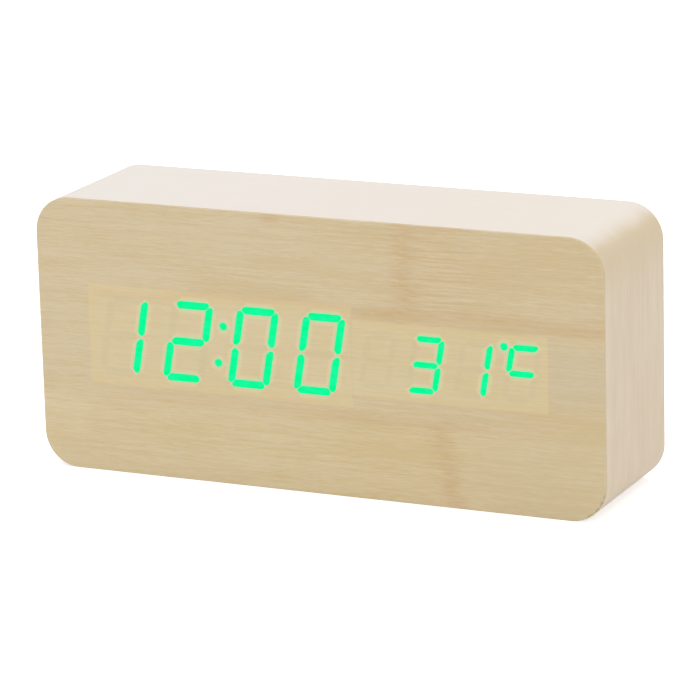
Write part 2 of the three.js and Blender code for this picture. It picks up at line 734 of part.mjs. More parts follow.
function makeBackBoard() {
  const outer = PANEL_RECESS;
  const inner = PANEL_RECESS - BACK_BOARD;
  const ledge = -PANEL_THICKNESS - SEAT;
  const outline = roundedRectangle(boardWidth, boardHeight, boardRadius);
  const board = solid(plate(outline, inner, outer, CASE_CORNER_STEPS));
  const rebateOutline = roundedRectangle(
    panelWidth + 2 * PANEL_FIT,
    panelHeight + 2 * PANEL_FIT,
    PANEL_RADIUS + PANEL_FIT,
  );
  const rebate = plate(rebateOutline, ledge, outer + OVERCUT);
  const openingOutline = roundedRectangle(cutWidth, cutHeight, TUB_RADIUS + CUT_FIT);
  const opening = plate(openingOutline, inner - OVERCUT, outer);
  const pilots = panelScrews.map(({ x, z }) =>
    rod(screwHole, inner + PILOT_SKIN, outer, SMALL_SIDES).translate(x, 0, z));
  return piece("back_board", cut(board, rebate, opening, ...pilots), FINISHES.bamboo);
}

// Round troughs on the floor of the bay keep the cells apart
function makeCradle() {
  const inset = contactRoom + SPRING_LENGTH + CRADLE_END;
  const half = bayHeight / 2 + BAY_WALL / 2;
  const foot = bayFloor - BAY_FLOOR / 2;
  const rib = box(bayLeft + inset, bayRight - inset, foot, bayFloor + CRADLE_RISE, -half, half);
  const troughs = cellRows().map((z) => {
    const trough = rod(CELL_DIAMETER + 2 * CRADLE_FIT, -CELL_LENGTH, CELL_LENGTH);
    return trough.rotateZ(Math.PI / 2).translate(bayCentre, cellAxis, z);
  });
  return cut(solid(rib), ...troughs);
}

function cellRows() {
  return Array.from({ length: CELLS }, (unused, i) => ((CELLS - 1) / 2 - i) * cellPitch);
}

// Slots in the floor for the tails of the two end contacts
function tailSlots() {
  const room = contactRoom + CELL_FIT;
  const half = TAIL_WIDTH / 2 + CELL_FIT;
  const rows = cellRows();
  const lowest = rows[CELLS - 1];
  const highest = rows[0];
  const below = bayFloor - BAY_FLOOR - OVERCUT;
  return [
    box(bayLeft, bayLeft + room, below, bayFloor + OVERCUT, lowest - half, lowest + half),
    box(bayRight - room, bayRight, below, bayFloor + OVERCUT, highest - half, highest + half),
  ];
}

// Gaps in the upper wall of the bay where the door's tabs hook in and swing
function tabSlots() {
  const half = TAB_WIDTH / 2 + DOOR_FIT;
  const swing = Math.hypot(Math.max(TAB_REACH, TAB_ROOT), tabBottom) + DOOR_FIT;
  const bottom = bayHeight / 2 - OVERCUT;
  const top = bayHeight / 2 + BAY_WALL + OVERCUT;
  return tabPlaces.map((x) => box(x - half, x + half, -swing, -PANEL_THICKNESS, bottom, top));
}

// A shallow finger scoop in the panel below the door's latch
function fingerScoop() {
  const radius = (SCOOP_REACH ** 2 + SCOOP_DEPTH ** 2) / (2 * SCOOP_DEPTH);
  const roll = rod(2 * radius, -SCOOP_WIDTH / 2, SCOOP_WIDTH / 2);
  return roll.rotateZ(Math.PI / 2).translate(bayCentre, radius - SCOOP_DEPTH, -doorTop - DOOR_FIT);
}

function makePanel() {
  const half = bayHeight / 2;
  const flange = plate(roundedRectangle(panelWidth, panelHeight, PANEL_RADIUS), -PANEL_THICKNESS, 0);
  const tubOutline = roundedRectangle(bayLength + 2 * BAY_WALL, bayHeight + 2 * BAY_WALL, TUB_RADIUS);
  const tub = plate(tubOutline, bayFloor - BAY_FLOOR, -PANEL_THICKNESS / 2).translate(bayCentre, 0, 0);
  const bosses = bossPlaces.map(({ x, z }) =>
    rod(bossDiameter, keyBoardBack + SEAT, -PANEL_THICKNESS / 2, SMALL_SIDES).translate(x, 0, z));
  const doorway = plate(
    roundedRectangle(doorWidth + 2 * DOOR_FIT, doorHeight + 2 * DOOR_FIT, DOOR_RADIUS + DOOR_FIT),
    -PANEL_THICKNESS, OVERCUT,
  ).translate(bayCentre, 0, 0);
  const hollow = box(bayLeft, bayRight, bayFloor, OVERCUT, -half, half);
  const below = -PANEL_THICKNESS - OVERCUT;
  const keyHoles = keyPlaces.map(({ x, z }) =>
    rod(KEY_DIAMETER + 2 * KEY_FIT, below, OVERCUT).translate(x, 0, z));
  const mouth = rod(SOCKET_MOUTH, below, OVERCUT).translate(socketPlace.x, 0, socketPlace.z);
  const bossPilots = bossPlaces.map(({ x, z }) =>
    rod(screwHole, keyBoardBack, keyBoardBack + 2 * SEAT + SCREW_BITE, SMALL_SIDES).translate(x, 0, z));
  const screwHoles = panelScrews.flatMap(({ x, z }) => [
    rod(screwHole, below, OVERCUT, SMALL_SIDES).translate(x, 0, z),
    rod(SCREW_HEAD + 2 * SCREW_FIT, -COUNTERBORE_DEPTH, OVERCUT, SMALL_SIDES).translate(x, 0, z),
  ]);
  const shell = cut(fuse(flange, tub, ...bosses), doorway, hollow, ...keyHoles, mouth, ...bossPilots);
  const tray = shell.add(makeCradle());
  const finished = cut(tray, ...screwHoles, ...tailSlots(), ...tabSlots(), fingerScoop());
  return piece("rear_panel", finished, FINISHES.blackPlastic);
}

// The door lies flush in the panel on the walls of the bay.
// Its hooked tabs swing about the outer corner of its top edge.
function makeDoor() {
  const leaf = plate(roundedRectangle(doorWidth, doorHeight, DOOR_RADIUS), -doorThickness, 0);
  const tabs = tabPlaces.flatMap((x) => {
    const left = x - bayCentre - TAB_WIDTH / 2;
    const right = left + TAB_WIDTH;
    const root = doorTop - DOOR_FIT;
    return [
      box(left, right, tabBottom, -doorThickness / 2, root - TAB_ROOT, root),
      box(left, right, tabBottom, tabTop, root - TAB_ROOT / 2, doorTop + TAB_REACH),
    ];
  });
  const nibFace = -bayHeight / 2 + LATCH_NIB_GAP;
  const nibDepth = -doorThickness - LATCH_NIB;
  const nib = box(
    -LATCH_WIDTH / 2, LATCH_WIDTH / 2,
    nibDepth, -doorThickness / 2,
    nibFace, nibFace + LATCH_NIB_THICKNESS,
  );
  const ribs = Array.from({ length: GRIP_RIBS }, (unused, i) => {
    const z0 = -doorTop + (i + 1) * GRIP_RIB_PITCH - GRIP_RIB_WIDTH / 2;
    const end = LATCH_WIDTH / 2 - GRIP_RIB_WIDTH;
    return box(-end, end, -doorThickness / 2, GRIP_RIB_HEIGHT, z0, z0 + GRIP_RIB_WIDTH);
  });
  const slits = [-1, 1].map((side) => {
    const near = side * (LATCH_WIDTH / 2);
    const far = side * (LATCH_WIDTH / 2 + LATCH_SLIT);
    return box(
      Math.min(near, far), Math.max(near, far),
      -doorThickness - OVERCUT, OVERCUT,
      -doorTop - OVERCUT, -doorTop + LATCH_LENGTH,
    );
  });
  const door = cut(fuse(leaf, ...tabs, nib, ...ribs), ...slits);
  return groupAt(bayCentre, 0, 0, piece("battery_door", door, FINISHES.blackPlastic));
}

// A cell lying along X, with its raised contact at the end that side points to
function makeCell(name, side, z) {
  const radius = CELL_DIAMETER / 2;
  const shoulder = CELL_LENGTH - NUB_LENGTH;
  const cell = turned([
    [0, 0],
    [radius - CELL_EDGE, 0],
    [radius, CELL_EDGE],
    [radius, shoulder - CELL_EDGE],
    [radius - CELL_EDGE, shoulder],
    [NUB_DIAMETER / 2, shoulder],
    [NUB_DIAMETER / 2, CELL_LENGTH],
    [0, CELL_LENGTH],
  ]);
  cell.rotateZ((-side * Math.PI) / 2);
  const flatEnd = contactRoom + SPRING_LENGTH;
  const start = side > 0 ? bayLeft + flatEnd : bayRight - flatEnd;
  return groupAt(start, cellAxis, z, piece(name, solid(cell), FINISHES.cell));
}

// The wire of a battery spring, which tapers away from its plate
class SpringWire extends THREE.Curve {
  getPoint(t, target = new THREE.Vector3()) {
    const radius = THREE.MathUtils.lerp(SPRING_BASE / 2, SPRING_TIP / 2, t);
    const turn = 2 * Math.PI * SPRING_TURNS * t;
    const along = THREE.MathUtils.lerp(0, SPRING_LENGTH - SPRING_WIRE / 2, t);
    return target.set(along, radius * Math.cos(turn), radius * Math.sin(turn));
  }
}

function polygon(diameter, sides) {
  const points = Array.from({ length: sides }, (unused, i) => {
    const angle = (2 * Math.PI * i) / sides;
    return new THREE.Vector2((diameter / 2) * Math.cos(angle), (diameter / 2) * Math.sin(angle));
  });
  return new THREE.Shape(points);
}

function spring() {
  const steps = Math.round(SPRING_TURNS * SPRING_STEPS);
  const options = { steps, bevelEnabled: false, extrudePath: new SpringWire() };
  return new THREE.ExtrudeGeometry(polygon(SPRING_WIRE, SPRING_SIDES), options);
}

// The least gap between neighbouring turns of a battery spring, measured on points of its wire
function springGap() {
  const perTurn = SPRING_STEPS * SPRING_SIDES;
  const points = new SpringWire().getPoints(Math.round(SPRING_TURNS * perTurn));
  let least = Infinity;
  points.forEach((point, i) => {
    points.slice(i + perTurn / 2).forEach((other) => {
      least = Math.min(least, point.distanceTo(other) - SPRING_WIRE);
    });
  });
  return least;
}

// A plate on an end wall of the bay, over the rows from first to last, with a spring at one of them
function makeContact(name, { side, first, last, springRow, tailRow }) {
  const wall = side > 0 ? bayRight - SEAT : bayLeft + SEAT;
  const face = wall - side * CONTACT_THICKNESS;
  const half = CONTACT_SIZE / 2;
  const rows = cellRows();
  const x0 = Math.min(wall, face);
  const x1 = Math.max(wall, face);
  const bodies = [box(x0, x1, cellAxis - half, cellAxis + half, rows[last] - half, rows[first] + half)];
  if (springRow !== undefined) {
    const turn = side > 0 ? Math.PI : 0;
    bodies.push(spring().rotateY(turn).translate(face, cellAxis, rows[springRow]));
  }
  if (tailRow !== undefined) {
    const tip = bayFloor - BAY_FLOOR - TAIL_LENGTH;
    const z = rows[tailRow];
    bodies.push(box(x0, x1, tip, cellAxis, z - TAIL_WIDTH / 2, z + TAIL_WIDTH / 2));
  }
  return piece(name, fuse(...bodies), FINISHES.nickel);
}

function makeBatteryParts() {
  const lowest = CELLS - 1;
  const lowestRow = { first: lowest, last: lowest };
  return [
    ...cellRows().map((z, i) => makeCell(`cell_${i + 1}`, i % 2 === 0 ? 1 : -1, z)),
    makeContact("bridge_contact_left", { side: -1, first: 0, last: 1, springRow: 0 }),
    makeContact("negative_terminal", { side: -1, ...lowestRow, springRow: lowest, tailRow: lowest }),
    makeContact("positive_terminal", { side: 1, first: 0, last: 0, tailRow: 0 }),
    makeContact("bridge_contact_right", { side: 1, first: 1, last: lowest, springRow: 1 }),
  ];
}

// A key, with the switch that it presses
function makeKey({ name, x, z }) {
  const radius = KEY_DIAMETER / 2;
  const flange = radius + KEY_FLANGE_RIM;
  const key = turned([
    [0, stemEnd],
    [KEY_STEM_DIAMETER / 2, stemEnd],
    [KEY_STEM_DIAMETER / 2, flangeBottom],
    [flange, flangeBottom],
    [flange, flangeTop],
    [radius, flangeTop],
    [radius, KEY_PROUD - KEY_EDGE],
    [radius - KEY_EDGE, KEY_PROUD],
    [0, KEY_PROUD],
  ]);
  const half = SWITCH_SIZE / 2;
  const well = rod(
    PLUNGER_DIAMETER + 2 * KEY_FIT,
    switchTop - PLUNGER_ROOT - KEY_TRAVEL - KEY_FIT,
    switchTop + OVERCUT,
    SMALL_SIDES,
  );
  const body = cut(solid(box(-half, half, switchFoot, switchTop, -half, half)), well);
  const plunger = rod(PLUNGER_DIAMETER, switchTop - PLUNGER_ROOT, plungerTop, SMALL_SIDES);
  return groupAt(
    x, 0, z,
    piece(`${name}_key`, solid(key), FINISHES.rubber),
    piece(`${name}_switch_plunger`, solid(plunger), FINISHES.greyPlastic),
    piece(`${name}_switch`, body, FINISHES.blackPlastic),
  );
}

function makeKeyBoard() {
  const outline = roundedRectangle(keyBoardWidth, KEY_BOARD_HEIGHT, CIRCUIT_RADIUS);
  const board = solid(plate(outline, keyBoardFront, keyBoardBack).translate(keyBoardCentre, 0, 0));
  const holes = bossPlaces.map(({ x, z }) =>
    rod(screwHole, keyBoardFront - OVERCUT, keyBoardBack + OVERCUT, SMALL_SIDES).translate(x, 0, z));
  return piece("key_board", cut(board, ...holes), FINISHES.circuit);
}

// Screws that hold the key board to the panel's bosses, with their heads inside the clock
function makeKeyBoardScrews() {
  const shankLength = CIRCUIT_THICKNESS + SEAT + SCREW_BITE;
  return bossPlaces.map(({ x, z }, i) => {
    const shape = solid(screw(shankLength).rotateX(Math.PI));
    const fixing = piece(`key_board_screw_${i + 1}`, shape, FINISHES.steel);
    return groupAt(x, keyBoardFront - SEAT, z, fixing);
  });
}

function makeSocket() {
  const foot = keyBoardBack + SEAT;
  const mouth = -PANEL_THICKNESS - SEAT;
  const floor = foot + SOCKET_BASE_HEIGHT;
  const half = SOCKET_BASE / 2;
  const base = box(-half, half, foot, floor, -half, half);
  const barrel = turned([
    [0, floor - SOCKET_BASE_HEIGHT / 2],
    [SOCKET_DIAMETER / 2, floor - SOCKET_BASE_HEIGHT / 2],
    [SOCKET_DIAMETER / 2, mouth],
    [SOCKET_BORE / 2, mouth],
    [SOCKET_BORE / 2, floor],
    [SOCKET_PIN / 2, floor],
    [SOCKET_PIN / 2, mouth - SOCKET_PIN_SETBACK],
    [0, mouth - SOCKET_PIN_SETBACK],
  ]);
  const socket = piece("supply_socket", fuse(base, barrel), FINISHES.blackPlastic);
  return groupAt(socketPlace.x, 0, socketPlace.z, socket);
}

function makePanelScrews() {
  const seat = -COUNTERBORE_DEPTH + SEAT;
  const shankLength = seat - (PANEL_RECESS - BACK_BOARD + PILOT_SKIN + SCREW_FIT);
  return panelScrews.map(({ x, z }, i) =>
    groupAt(x, seat, z, piece(`panel_screw_${i + 1}`, solid(screw(shankLength)), FINISHES.steel)));
}

function makeRear() {
  return groupAt(
    0, panelFace, 0,
    makeBackBoard(),
    makePanel(),
    makeDoor(),
    ...makeBatteryParts(),
    ...keyPlaces.map(makeKey),
    makeKeyBoard(),
    ...makeKeyBoardScrews(),
    makeSocket(),
    ...makePanelScrews(),
  );
}

// A wire from a contact's tail to the display board, in the block's frame
function makeLead(name, { x, z, sway }, finish) {
  const start = panelFace + bayFloor - BAY_FLOOR - TAIL_LENGTH - SEAT;
  const end = filmBack + circuitBack + SEAT;
  const straight = 2 * LEAD_DIAMETER;
  const route = new THREE.CubicBezierCurve3(
    new THREE.Vector3(x, start, z),
    new THREE.Vector3(x, start - (start - end) / 2, z),
    new THREE.Vector3(x, end + (start - end) / 2, z + sway),
    new THREE.Vector3(x, end, z + sway),
  );
  const steps = Math.round((start - end) / straight);
  const options = { steps: 2 * steps, bevelEnabled: false, extrudePath: route };
  const wire = new THREE.ExtrudeGeometry(polygon(LEAD_DIAMETER, WIRE_SIDES), options);
  return piece(name, solid(wire), finish);
}

// A flat cable bent once each way between the two circuit boards, as an outline in X and Y
function makeRibbon() {
  const start = panelFace + keyBoardFront - SEAT;
  const end = filmBack + circuitBack + SEAT;
  const x = keyBoardCentre - RIBBON_SWAY / 2;
  const bend = new THREE.CubicBezierCurve(
    new THREE.Vector2(x, start),
    new THREE.Vector2(x, (start + end) / 2),
    new THREE.Vector2(x + RIBBON_SWAY, (start + end) / 2),
    new THREE.Vector2(x + RIBBON_SWAY, end),
  );
  const edge = (offset) => Array.from({ length: RIBBON_STEPS + 1 }, (unused, i) => {
    const t = i / RIBBON_STEPS;
    const tangent = bend.getTangent(t);
    const across = new THREE.Vector2(-tangent.y, tangent.x).multiplyScalar(offset);
    return bend.getPoint(t).add(across);
  });
  const half = RIBBON_THICKNESS / 2;
  const outline = new THREE.Shape([...edge(half), ...edge(-half).reverse()]);
  const ribbon = new THREE.ExtrudeGeometry(outline, { depth: RIBBON_WIDTH, bevelEnabled: false });
  return piece("key_ribbon", solid(ribbon.translate(0, 0, RIBBON_RISE)), FINISHES.ribbon);
}

function makeWiring() {
  const rows = cellRows();
  const tail = SEAT + CONTACT_THICKNESS / 2;
  const positive = { x: bayRight - tail, z: rows[0], sway: LEAD_SWAY };
  const negative = { x: bayLeft + tail, z: rows[CELLS - 1], sway: -LEAD_SWAY };
  return [
    makeLead("positive_lead", positive, FINISHES.redWire),
    makeLead("negative_lead", negative, FINISHES.blackWire),
    makeRibbon(),
  ];
}

console.log(`least gap between the turns of a battery spring: ${springGap().toFixed(2)} mm`);

const clock = groupAt(
  0, 0, HEIGHT / 2,
  makeFilm(),
  makeSleeve(),
  makeDisplay(),
  makeRear(),
  ...makeWiring(),
);

export default clock;
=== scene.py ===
"""Looks of a bedside clock: a bamboo block whose green digits shine through its front film."""

import logging
import math
from abc import ABC, abstractmethod
from collections.abc import Callable, Iterable, Sequence
from dataclasses import dataclass
from enum import Enum
from functools import cache, partial
from typing import TypeAlias

import bmesh
import bpy
from mathutils import Matrix, Vector


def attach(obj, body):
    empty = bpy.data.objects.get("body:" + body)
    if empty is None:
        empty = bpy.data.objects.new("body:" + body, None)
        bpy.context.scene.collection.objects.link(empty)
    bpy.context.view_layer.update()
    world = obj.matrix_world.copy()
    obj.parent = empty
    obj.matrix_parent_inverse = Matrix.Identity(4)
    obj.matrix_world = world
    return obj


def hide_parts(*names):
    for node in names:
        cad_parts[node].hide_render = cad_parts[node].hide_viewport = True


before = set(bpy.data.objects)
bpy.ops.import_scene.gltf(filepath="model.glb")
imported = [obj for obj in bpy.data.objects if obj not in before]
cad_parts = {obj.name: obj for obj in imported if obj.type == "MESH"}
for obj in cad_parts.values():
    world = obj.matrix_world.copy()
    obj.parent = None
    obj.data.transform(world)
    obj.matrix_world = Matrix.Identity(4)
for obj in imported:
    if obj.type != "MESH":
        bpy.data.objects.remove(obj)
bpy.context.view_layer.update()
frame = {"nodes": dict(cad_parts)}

LOG = logging.getLogger("clock")
MM = 0.001
# The other constants are in millimetres. Points closer together than this count as one.
CLOSE = 0.001
# The film's face along Y, just behind the solids' box, so that the lit bars on it end flush with the box.
FILM_FACE = -19.97
# Cutters that open to the back reach out to here along Y.
OUTSIDE = 21.0

Term: TypeAlias = "Value | float"
Colour = tuple[float, float, float, float]
Point = tuple[float, float, float]
Pair = tuple[float, float]
Test = Callable[[Vector, Vector], bool]


def srgb(red: int, green: int, blue: int) -> Colour:
    """Turn a screen colour into the linear colour that a shader takes.

    Args:
        red: Red level from 0 to 255.
        green: Green level from 0 to 255.
        blue: Blue level from 0 to 255.

    Returns:
        The linear colour with full alpha.
    """

    def linear(level: int) -> float:
        """Undo the screen's curve for one level."""
        share = level / 255
        return share / 12.92 if share <= 0.04045 else ((share + 0.055) / 1.055) ** 2.4

    return (linear(red), linear(green), linear(blue), 1.0)


class Value:
    """A socket of a material's node tree that takes part in Python expressions."""

    def __init__(self, graph: "Graph", socket: bpy.types.NodeSocket) -> None:
        """Wrap a socket of that graph."""
        self.graph = graph
        self.socket = socket

    def __add__(self, other: Term) -> "Value":
        """Add a value or a number."""
        return self.graph.math("ADD", self, other)

    def __radd__(self, other: float) -> "Value":
        """Add to a number."""
        return self.graph.math("ADD", other, self)

    def __sub__(self, other: Term) -> "Value":
        """Take away a value or a number."""
        return self.graph.math("SUBTRACT", self, other)

    def __rsub__(self, other: float) -> "Value":
        """Take away from a number."""
        return self.graph.math("SUBTRACT", other, self)

    def __mul__(self, other: Term) -> "Value":
        """Multiply by a value or a number."""
        return self.graph.math("MULTIPLY", self, other)

    def __rmul__(self, other: float) -> "Value":
        """Multiply a number."""
        return self.graph.math("MULTIPLY", other, self)

    def __truediv__(self, other: Term) -> "Value":
        """Divide by a value or a number."""
        return self.graph.math("DIVIDE", self, other)

    def __mod__(self, other: Term) -> "Value":
        """Give the remainder, never below nought."""
        return self.graph.math("FLOORED_MODULO", self, other)

    def __abs__(self) -> "Value":
        """Drop the sign."""
        return self.graph.math("ABSOLUTE", self)

    def root(self) -> "Value":
        """Take the square root."""
        return self.graph.math("SQRT", self)

    def floor(self) -> "Value":
        """Round down."""
        return self.graph.math("FLOOR", self)

    def above(self, other: Term) -> "Value":
        """Give 1 where this is the greater, and 0 elsewhere."""
        return self.graph.math("GREATER_THAN", self, other)

    def least(self, other: Term) -> "Value":
        """Give the smaller of the two."""
        return self.graph.math("MINIMUM", self, other)

    def most(self, other: Term) -> "Value":
        """Give the larger of the two."""
        return self.graph.math("MAXIMUM", self, other)

    def rise(self, low: float, high: float) -> "Value":
        """Climb smoothly from 0 to 1.

        Args:
            low: Where the climb starts.
            high: Where the climb ends; below low, it falls instead.

        Returns:
            The share of the climb.
        """
        node = self.graph.node(
            "ShaderNodeMapRange",
            {"interpolation_type": "SMOOTHSTEP"},
            {"Value": self, "From Min": low, "From Max": high},
        )
        return Value(self.graph, node.outputs[0])

    def near(self, centre: Term, reach: float) -> "Value":
        """Give 1 at the centre, falling smoothly to 0 at the reach."""
        return abs(self - centre).rise(reach, 0.0)

    def within(self, low: float, high: float, soft: float) -> "Value":
        """Give 1 between two limits, with an edge that is soft by that much."""
        return self.rise(low - soft, low + soft) * self.rise(high + soft, high - soft)


class Graph:
    """A node tree of a material or of the backdrop, with one shader at its end."""

    def __init__(
        self,
        owner: bpy.types.Material | bpy.types.World,
        shader: str = "ShaderNodeBsdfPrincipled",
        output: str = "ShaderNodeOutputMaterial",
    ) -> None:
        """Start an empty tree.

        Args:
            owner: What the tree belongs to.
            shader: The type of the shader at its end.
            output: The type of the node that the shader feeds.
        """
        owner.use_nodes = True
        self.tree = owner.node_tree
        self.tree.nodes.clear()
        self.shader = self.node(shader)
        self.node(output, None, {"Surface": self.shader.outputs[0]})

    def node(
        self,
        kind: str,
        settings: dict[str, object] | None = None,
        inputs: dict[str | int, object] | None = None,
    ) -> bpy.types.Node:
        """Add a node, set it, then feed its sockets.

        Args:
            kind: The node's type.
            settings: Attributes by name; "stops" holds a ramp's places and colours.
            inputs: Values, links or sockets by the name or number of the input.

        Returns:
            The new node.
        """
        node = self.tree.nodes.new(kind)
        for key, setting in (settings or {}).items():
            if key == "stops":
                self.set_stops(node.color_ramp, setting)
            else:
                setattr(node, key, setting)
        for key, term in (inputs or {}).items():
            self.feed(node.inputs[key], term)
        return node

    @staticmethod
    def set_stops(ramp: bpy.types.ColorRamp, stops: Sequence[tuple[float, Colour]]) -> None:
        """Give a ramp stops in place of its own, with no blend between them.

        Args:
            ramp: The ramp.
            stops: Places from 0 to 1 with their colours.
        """
        ramp.interpolation = "CONSTANT"
        while len(ramp.elements) < len(stops):
            ramp.elements.new(1.0)
        for element, (place, colour) in zip(ramp.elements, stops):
            element.position = place
            element.color = colour

    def feed(self, socket: bpy.types.NodeSocket, term: object) -> None:
        """Link a value or a socket to another socket, or set a constant on it.

        Args:
            socket: The socket that is fed.
            term: The value, socket or constant.
        """
        if isinstance(term, Value):
            self.tree.links.new(term.socket, socket)
        elif isinstance(term, bpy.types.NodeSocket):
            self.tree.links.new(term, socket)
        else:
            socket.default_value = term

    def math(self, operation: str, *terms: Term) -> Value:
        """Add a Math node on these terms."""
        node = self.node("ShaderNodeMath", {"operation": operation}, dict(enumerate(terms)))
        return Value(self, node.outputs[0])

    def place(self) -> list[Value]:
        """Read where a point lies on the object.

        Returns:
            Its X, Y and Z in millimetres.
        """
        coordinates = self.node("ShaderNodeTexCoord").outputs["Object"]
        split = self.node("ShaderNodeSeparateXYZ", None, {"Vector": coordinates})
        return [Value(self, output) / MM for output in split.outputs]

    def noise(self, x: Term, y: Term, z: Term, detail: float = 2.0, rough: float = 0.5) -> Value:
        """Give smooth noise at a place whose parts are already scaled.

        Args:
            x: First part of the place.
            y: Second part of the place.
            z: Third part of the place.
            detail: How many finer layers are added.
            rough: How strong the finer layers are.

        Returns:
            Noise from 0 to 1 about one half.
        """
        place = self.node("ShaderNodeCombineXYZ", None, {0: x, 1: y, 2: z})
        inputs = {"Vector": place.outputs[0], "Scale": 1.0, "Detail": detail, "Roughness": rough}
        return Value(self, self.node("ShaderNodeTexNoise", None, inputs).outputs[0])

    def lookup(self, index: Value, flags: Sequence[bool]) -> Value:
        """Read a flag from a list.

        Args:
            index: The flag's number, which is whole.
            flags: The list.

        Returns:
            1 where the flag is set, and 0 elsewhere.
        """
        stops = [(i / len(flags), (float(flag),) * 3 + (1.0,)) for i, flag in enumerate(flags)]
        ramp = self.node("ShaderNodeValToRGB", {"stops": stops}, {"Fac": (index + 0.5) / len(flags)})
        return Value(self, ramp.outputs[0])

    def mix(self, share: Term, first: "Value | Colour", second: "Value | Colour") -> Value:
        """Blend two colours.

        Args:
            share: How much of the second colour shows, from 0 to 1.
            first: The colour at 0.
            second: The colour at 1.

        Returns:
            The blended colour.
        """
        node = self.node("ShaderNodeMix", {"data_type": "RGBA"}, {0: share, 6: first, 7: second})
        return Value(self, node.outputs[2])

    def relief(self, height: Value, depth: float, strength: float) -> None:
        """Roughen the surface.

        Args:
            height: The height of each point, from 0 to 1.
            depth: How deep that is in millimetres.
            strength: How much of it shows, from 0 to 1.
        """
        inputs = {"Strength": strength, "Distance": depth * MM, "Height": height}
        node = self.node("ShaderNodeBump", None, inputs)
        self.feed(self.shader.inputs["Normal"], node.outputs[0])

    def surface(self, **inputs: object) -> None:
        """Feed the shader's sockets, named with _ for a space."""
        for key, term in inputs.items():
            self.feed(self.shader.inputs[key.replace("_", " ")], term)


class Bar(Enum):
    """The seven bars of a digit, each with its middle and direction in half widths and half heights."""

    TOP = (0.0, 1.0, False)
    MIDDLE = (0.0, 0.0, False)
    BOTTOM = (0.0, -1.0, False)
    UPPER_RIGHT = (1.0, 0.5, True)
    LOWER_RIGHT = (1.0, -0.5, True)
    UPPER_LEFT = (-1.0, 0.5, True)
    LOWER_LEFT = (-1.0, -0.5, True)


class Glyph(Enum):
    """What a digit shows, as the bars that are lit."""

    BLANK = ()
    ZERO = (Bar.TOP, Bar.BOTTOM, Bar.UPPER_RIGHT, Bar.LOWER_RIGHT, Bar.UPPER_LEFT, Bar.LOWER_LEFT)
    ONE = (Bar.UPPER_RIGHT, Bar.LOWER_RIGHT)
    TWO = (Bar.TOP, Bar.UPPER_RIGHT, Bar.MIDDLE, Bar.LOWER_LEFT, Bar.BOTTOM)
    THREE = (Bar.TOP, Bar.UPPER_RIGHT, Bar.MIDDLE, Bar.LOWER_RIGHT, Bar.BOTTOM)
    SMALL_C = (Bar.TOP, Bar.UPPER_LEFT, Bar.MIDDLE)


@dataclass(frozen=True)
class Digits:
    """A row of slanted digits behind the film, in millimetres between the middles of their bars.

    Attributes:
        shown: What each digit shows, from the left.
        centre_x: Middle of the row along X.
        centre_z: Middle of the row along Z.
        height: From the top bar to the bottom bar.
        width: From the left bars to the right bars.
        stroke: Thickness of a bar.
        pitch: From one digit to the next.
        slant: Lean to the right for each millimetre up.
        gap: From a bar's end to the middle of the bar that it meets.
        dots: Middles of the lit dots beside the digits along X and Z.
        dot_radius: Radius of those dots.
    """

    shown: tuple[Glyph, ...]
    centre_x: float
    centre_z: float
    height: float
    width: float
    stroke: float
    pitch: float
    slant: float = 0.176
    gap: float = 0.35
    dots: tuple[Pair, ...] = ()
    dot_radius: float = 1.0

    def nearness(self, graph: Graph, x: Value, z: Value) -> tuple[Value, Value]:
        """Work out how far a point of the film is from the bars.

        Args:
            graph: The film's node tree.
            x: The point's place along X.
            z: The point's place along Z.

        Returns:
            The distance to the edge of any bar, and to the edge of a lit bar or dot.
        """
        count = len(self.shown)
        up = z - self.centre_z
        along = (x - self.centre_x - up * self.slant) / self.pitch + count / 2
        index = along.floor().most(0.0).least(count - 1.0)
        across = (along - index - 0.5) * self.pitch
        half = self.stroke / 2
        far = self.height
        side = abs(across)
        level = abs(up)
        off_upright = abs(side - self.width / 2)
        off_level = level.least(abs(level - self.height / 2))
        quarter = self.height / 4
        upright = (off_upright - half).most(off_upright + abs(level - quarter) - (quarter - self.gap))
        crossing = (off_level - half).most(off_level + side - (self.width / 2 - self.gap))
        corners = (Bar.LOWER_LEFT, Bar.UPPER_LEFT, Bar.LOWER_RIGHT, Bar.UPPER_RIGHT)
        rows = (Bar.BOTTOM, Bar.MIDDLE, Bar.TOP)
        corner = index * float(len(corners)) + across.above(0.0) * 2.0 + up.above(0.0)
        row = index * float(len(rows)) + up.above(-quarter) + up.above(quarter)
        upright_lit = graph.lookup(corner, [bar in glyph.value for glyph in self.shown for bar in corners])
        level_lit = graph.lookup(row, [bar in glyph.value for glyph in self.shown for bar in rows])
        lit = (upright + far * (1.0 - upright_lit)).least(crossing + far * (1.0 - level_lit))
        for dot_x, dot_z in self.dots:
            off_x, off_z = x - dot_x, z - dot_z
            lit = lit.least((off_x * off_x + off_z * off_z).root() - self.dot_radius)
        return upright.least(crossing), lit


TIME = Digits(
    shown=(Glyph.ONE, Glyph.TWO, Glyph.ZERO, Glyph.ZERO),
    centre_x=-25.08,
    centre_z=35.2,
    height=18.5,
    width=9.3,
    stroke=1.9,
    pitch=17.7,
    dots=((-24.18, 39.92), (-25.8, 30.64)),
)
WARMTH = Digits(
    shown=(Glyph.BLANK, Glyph.THREE, Glyph.ONE, Glyph.SMALL_C),
    centre_x=35.48,
    centre_z=34.95,
    height=12.8,
    width=6.8,
    stroke=1.5,
    pitch=12.4,
    dots=((49.68, 41.35),),
    dot_radius=0.95,
)


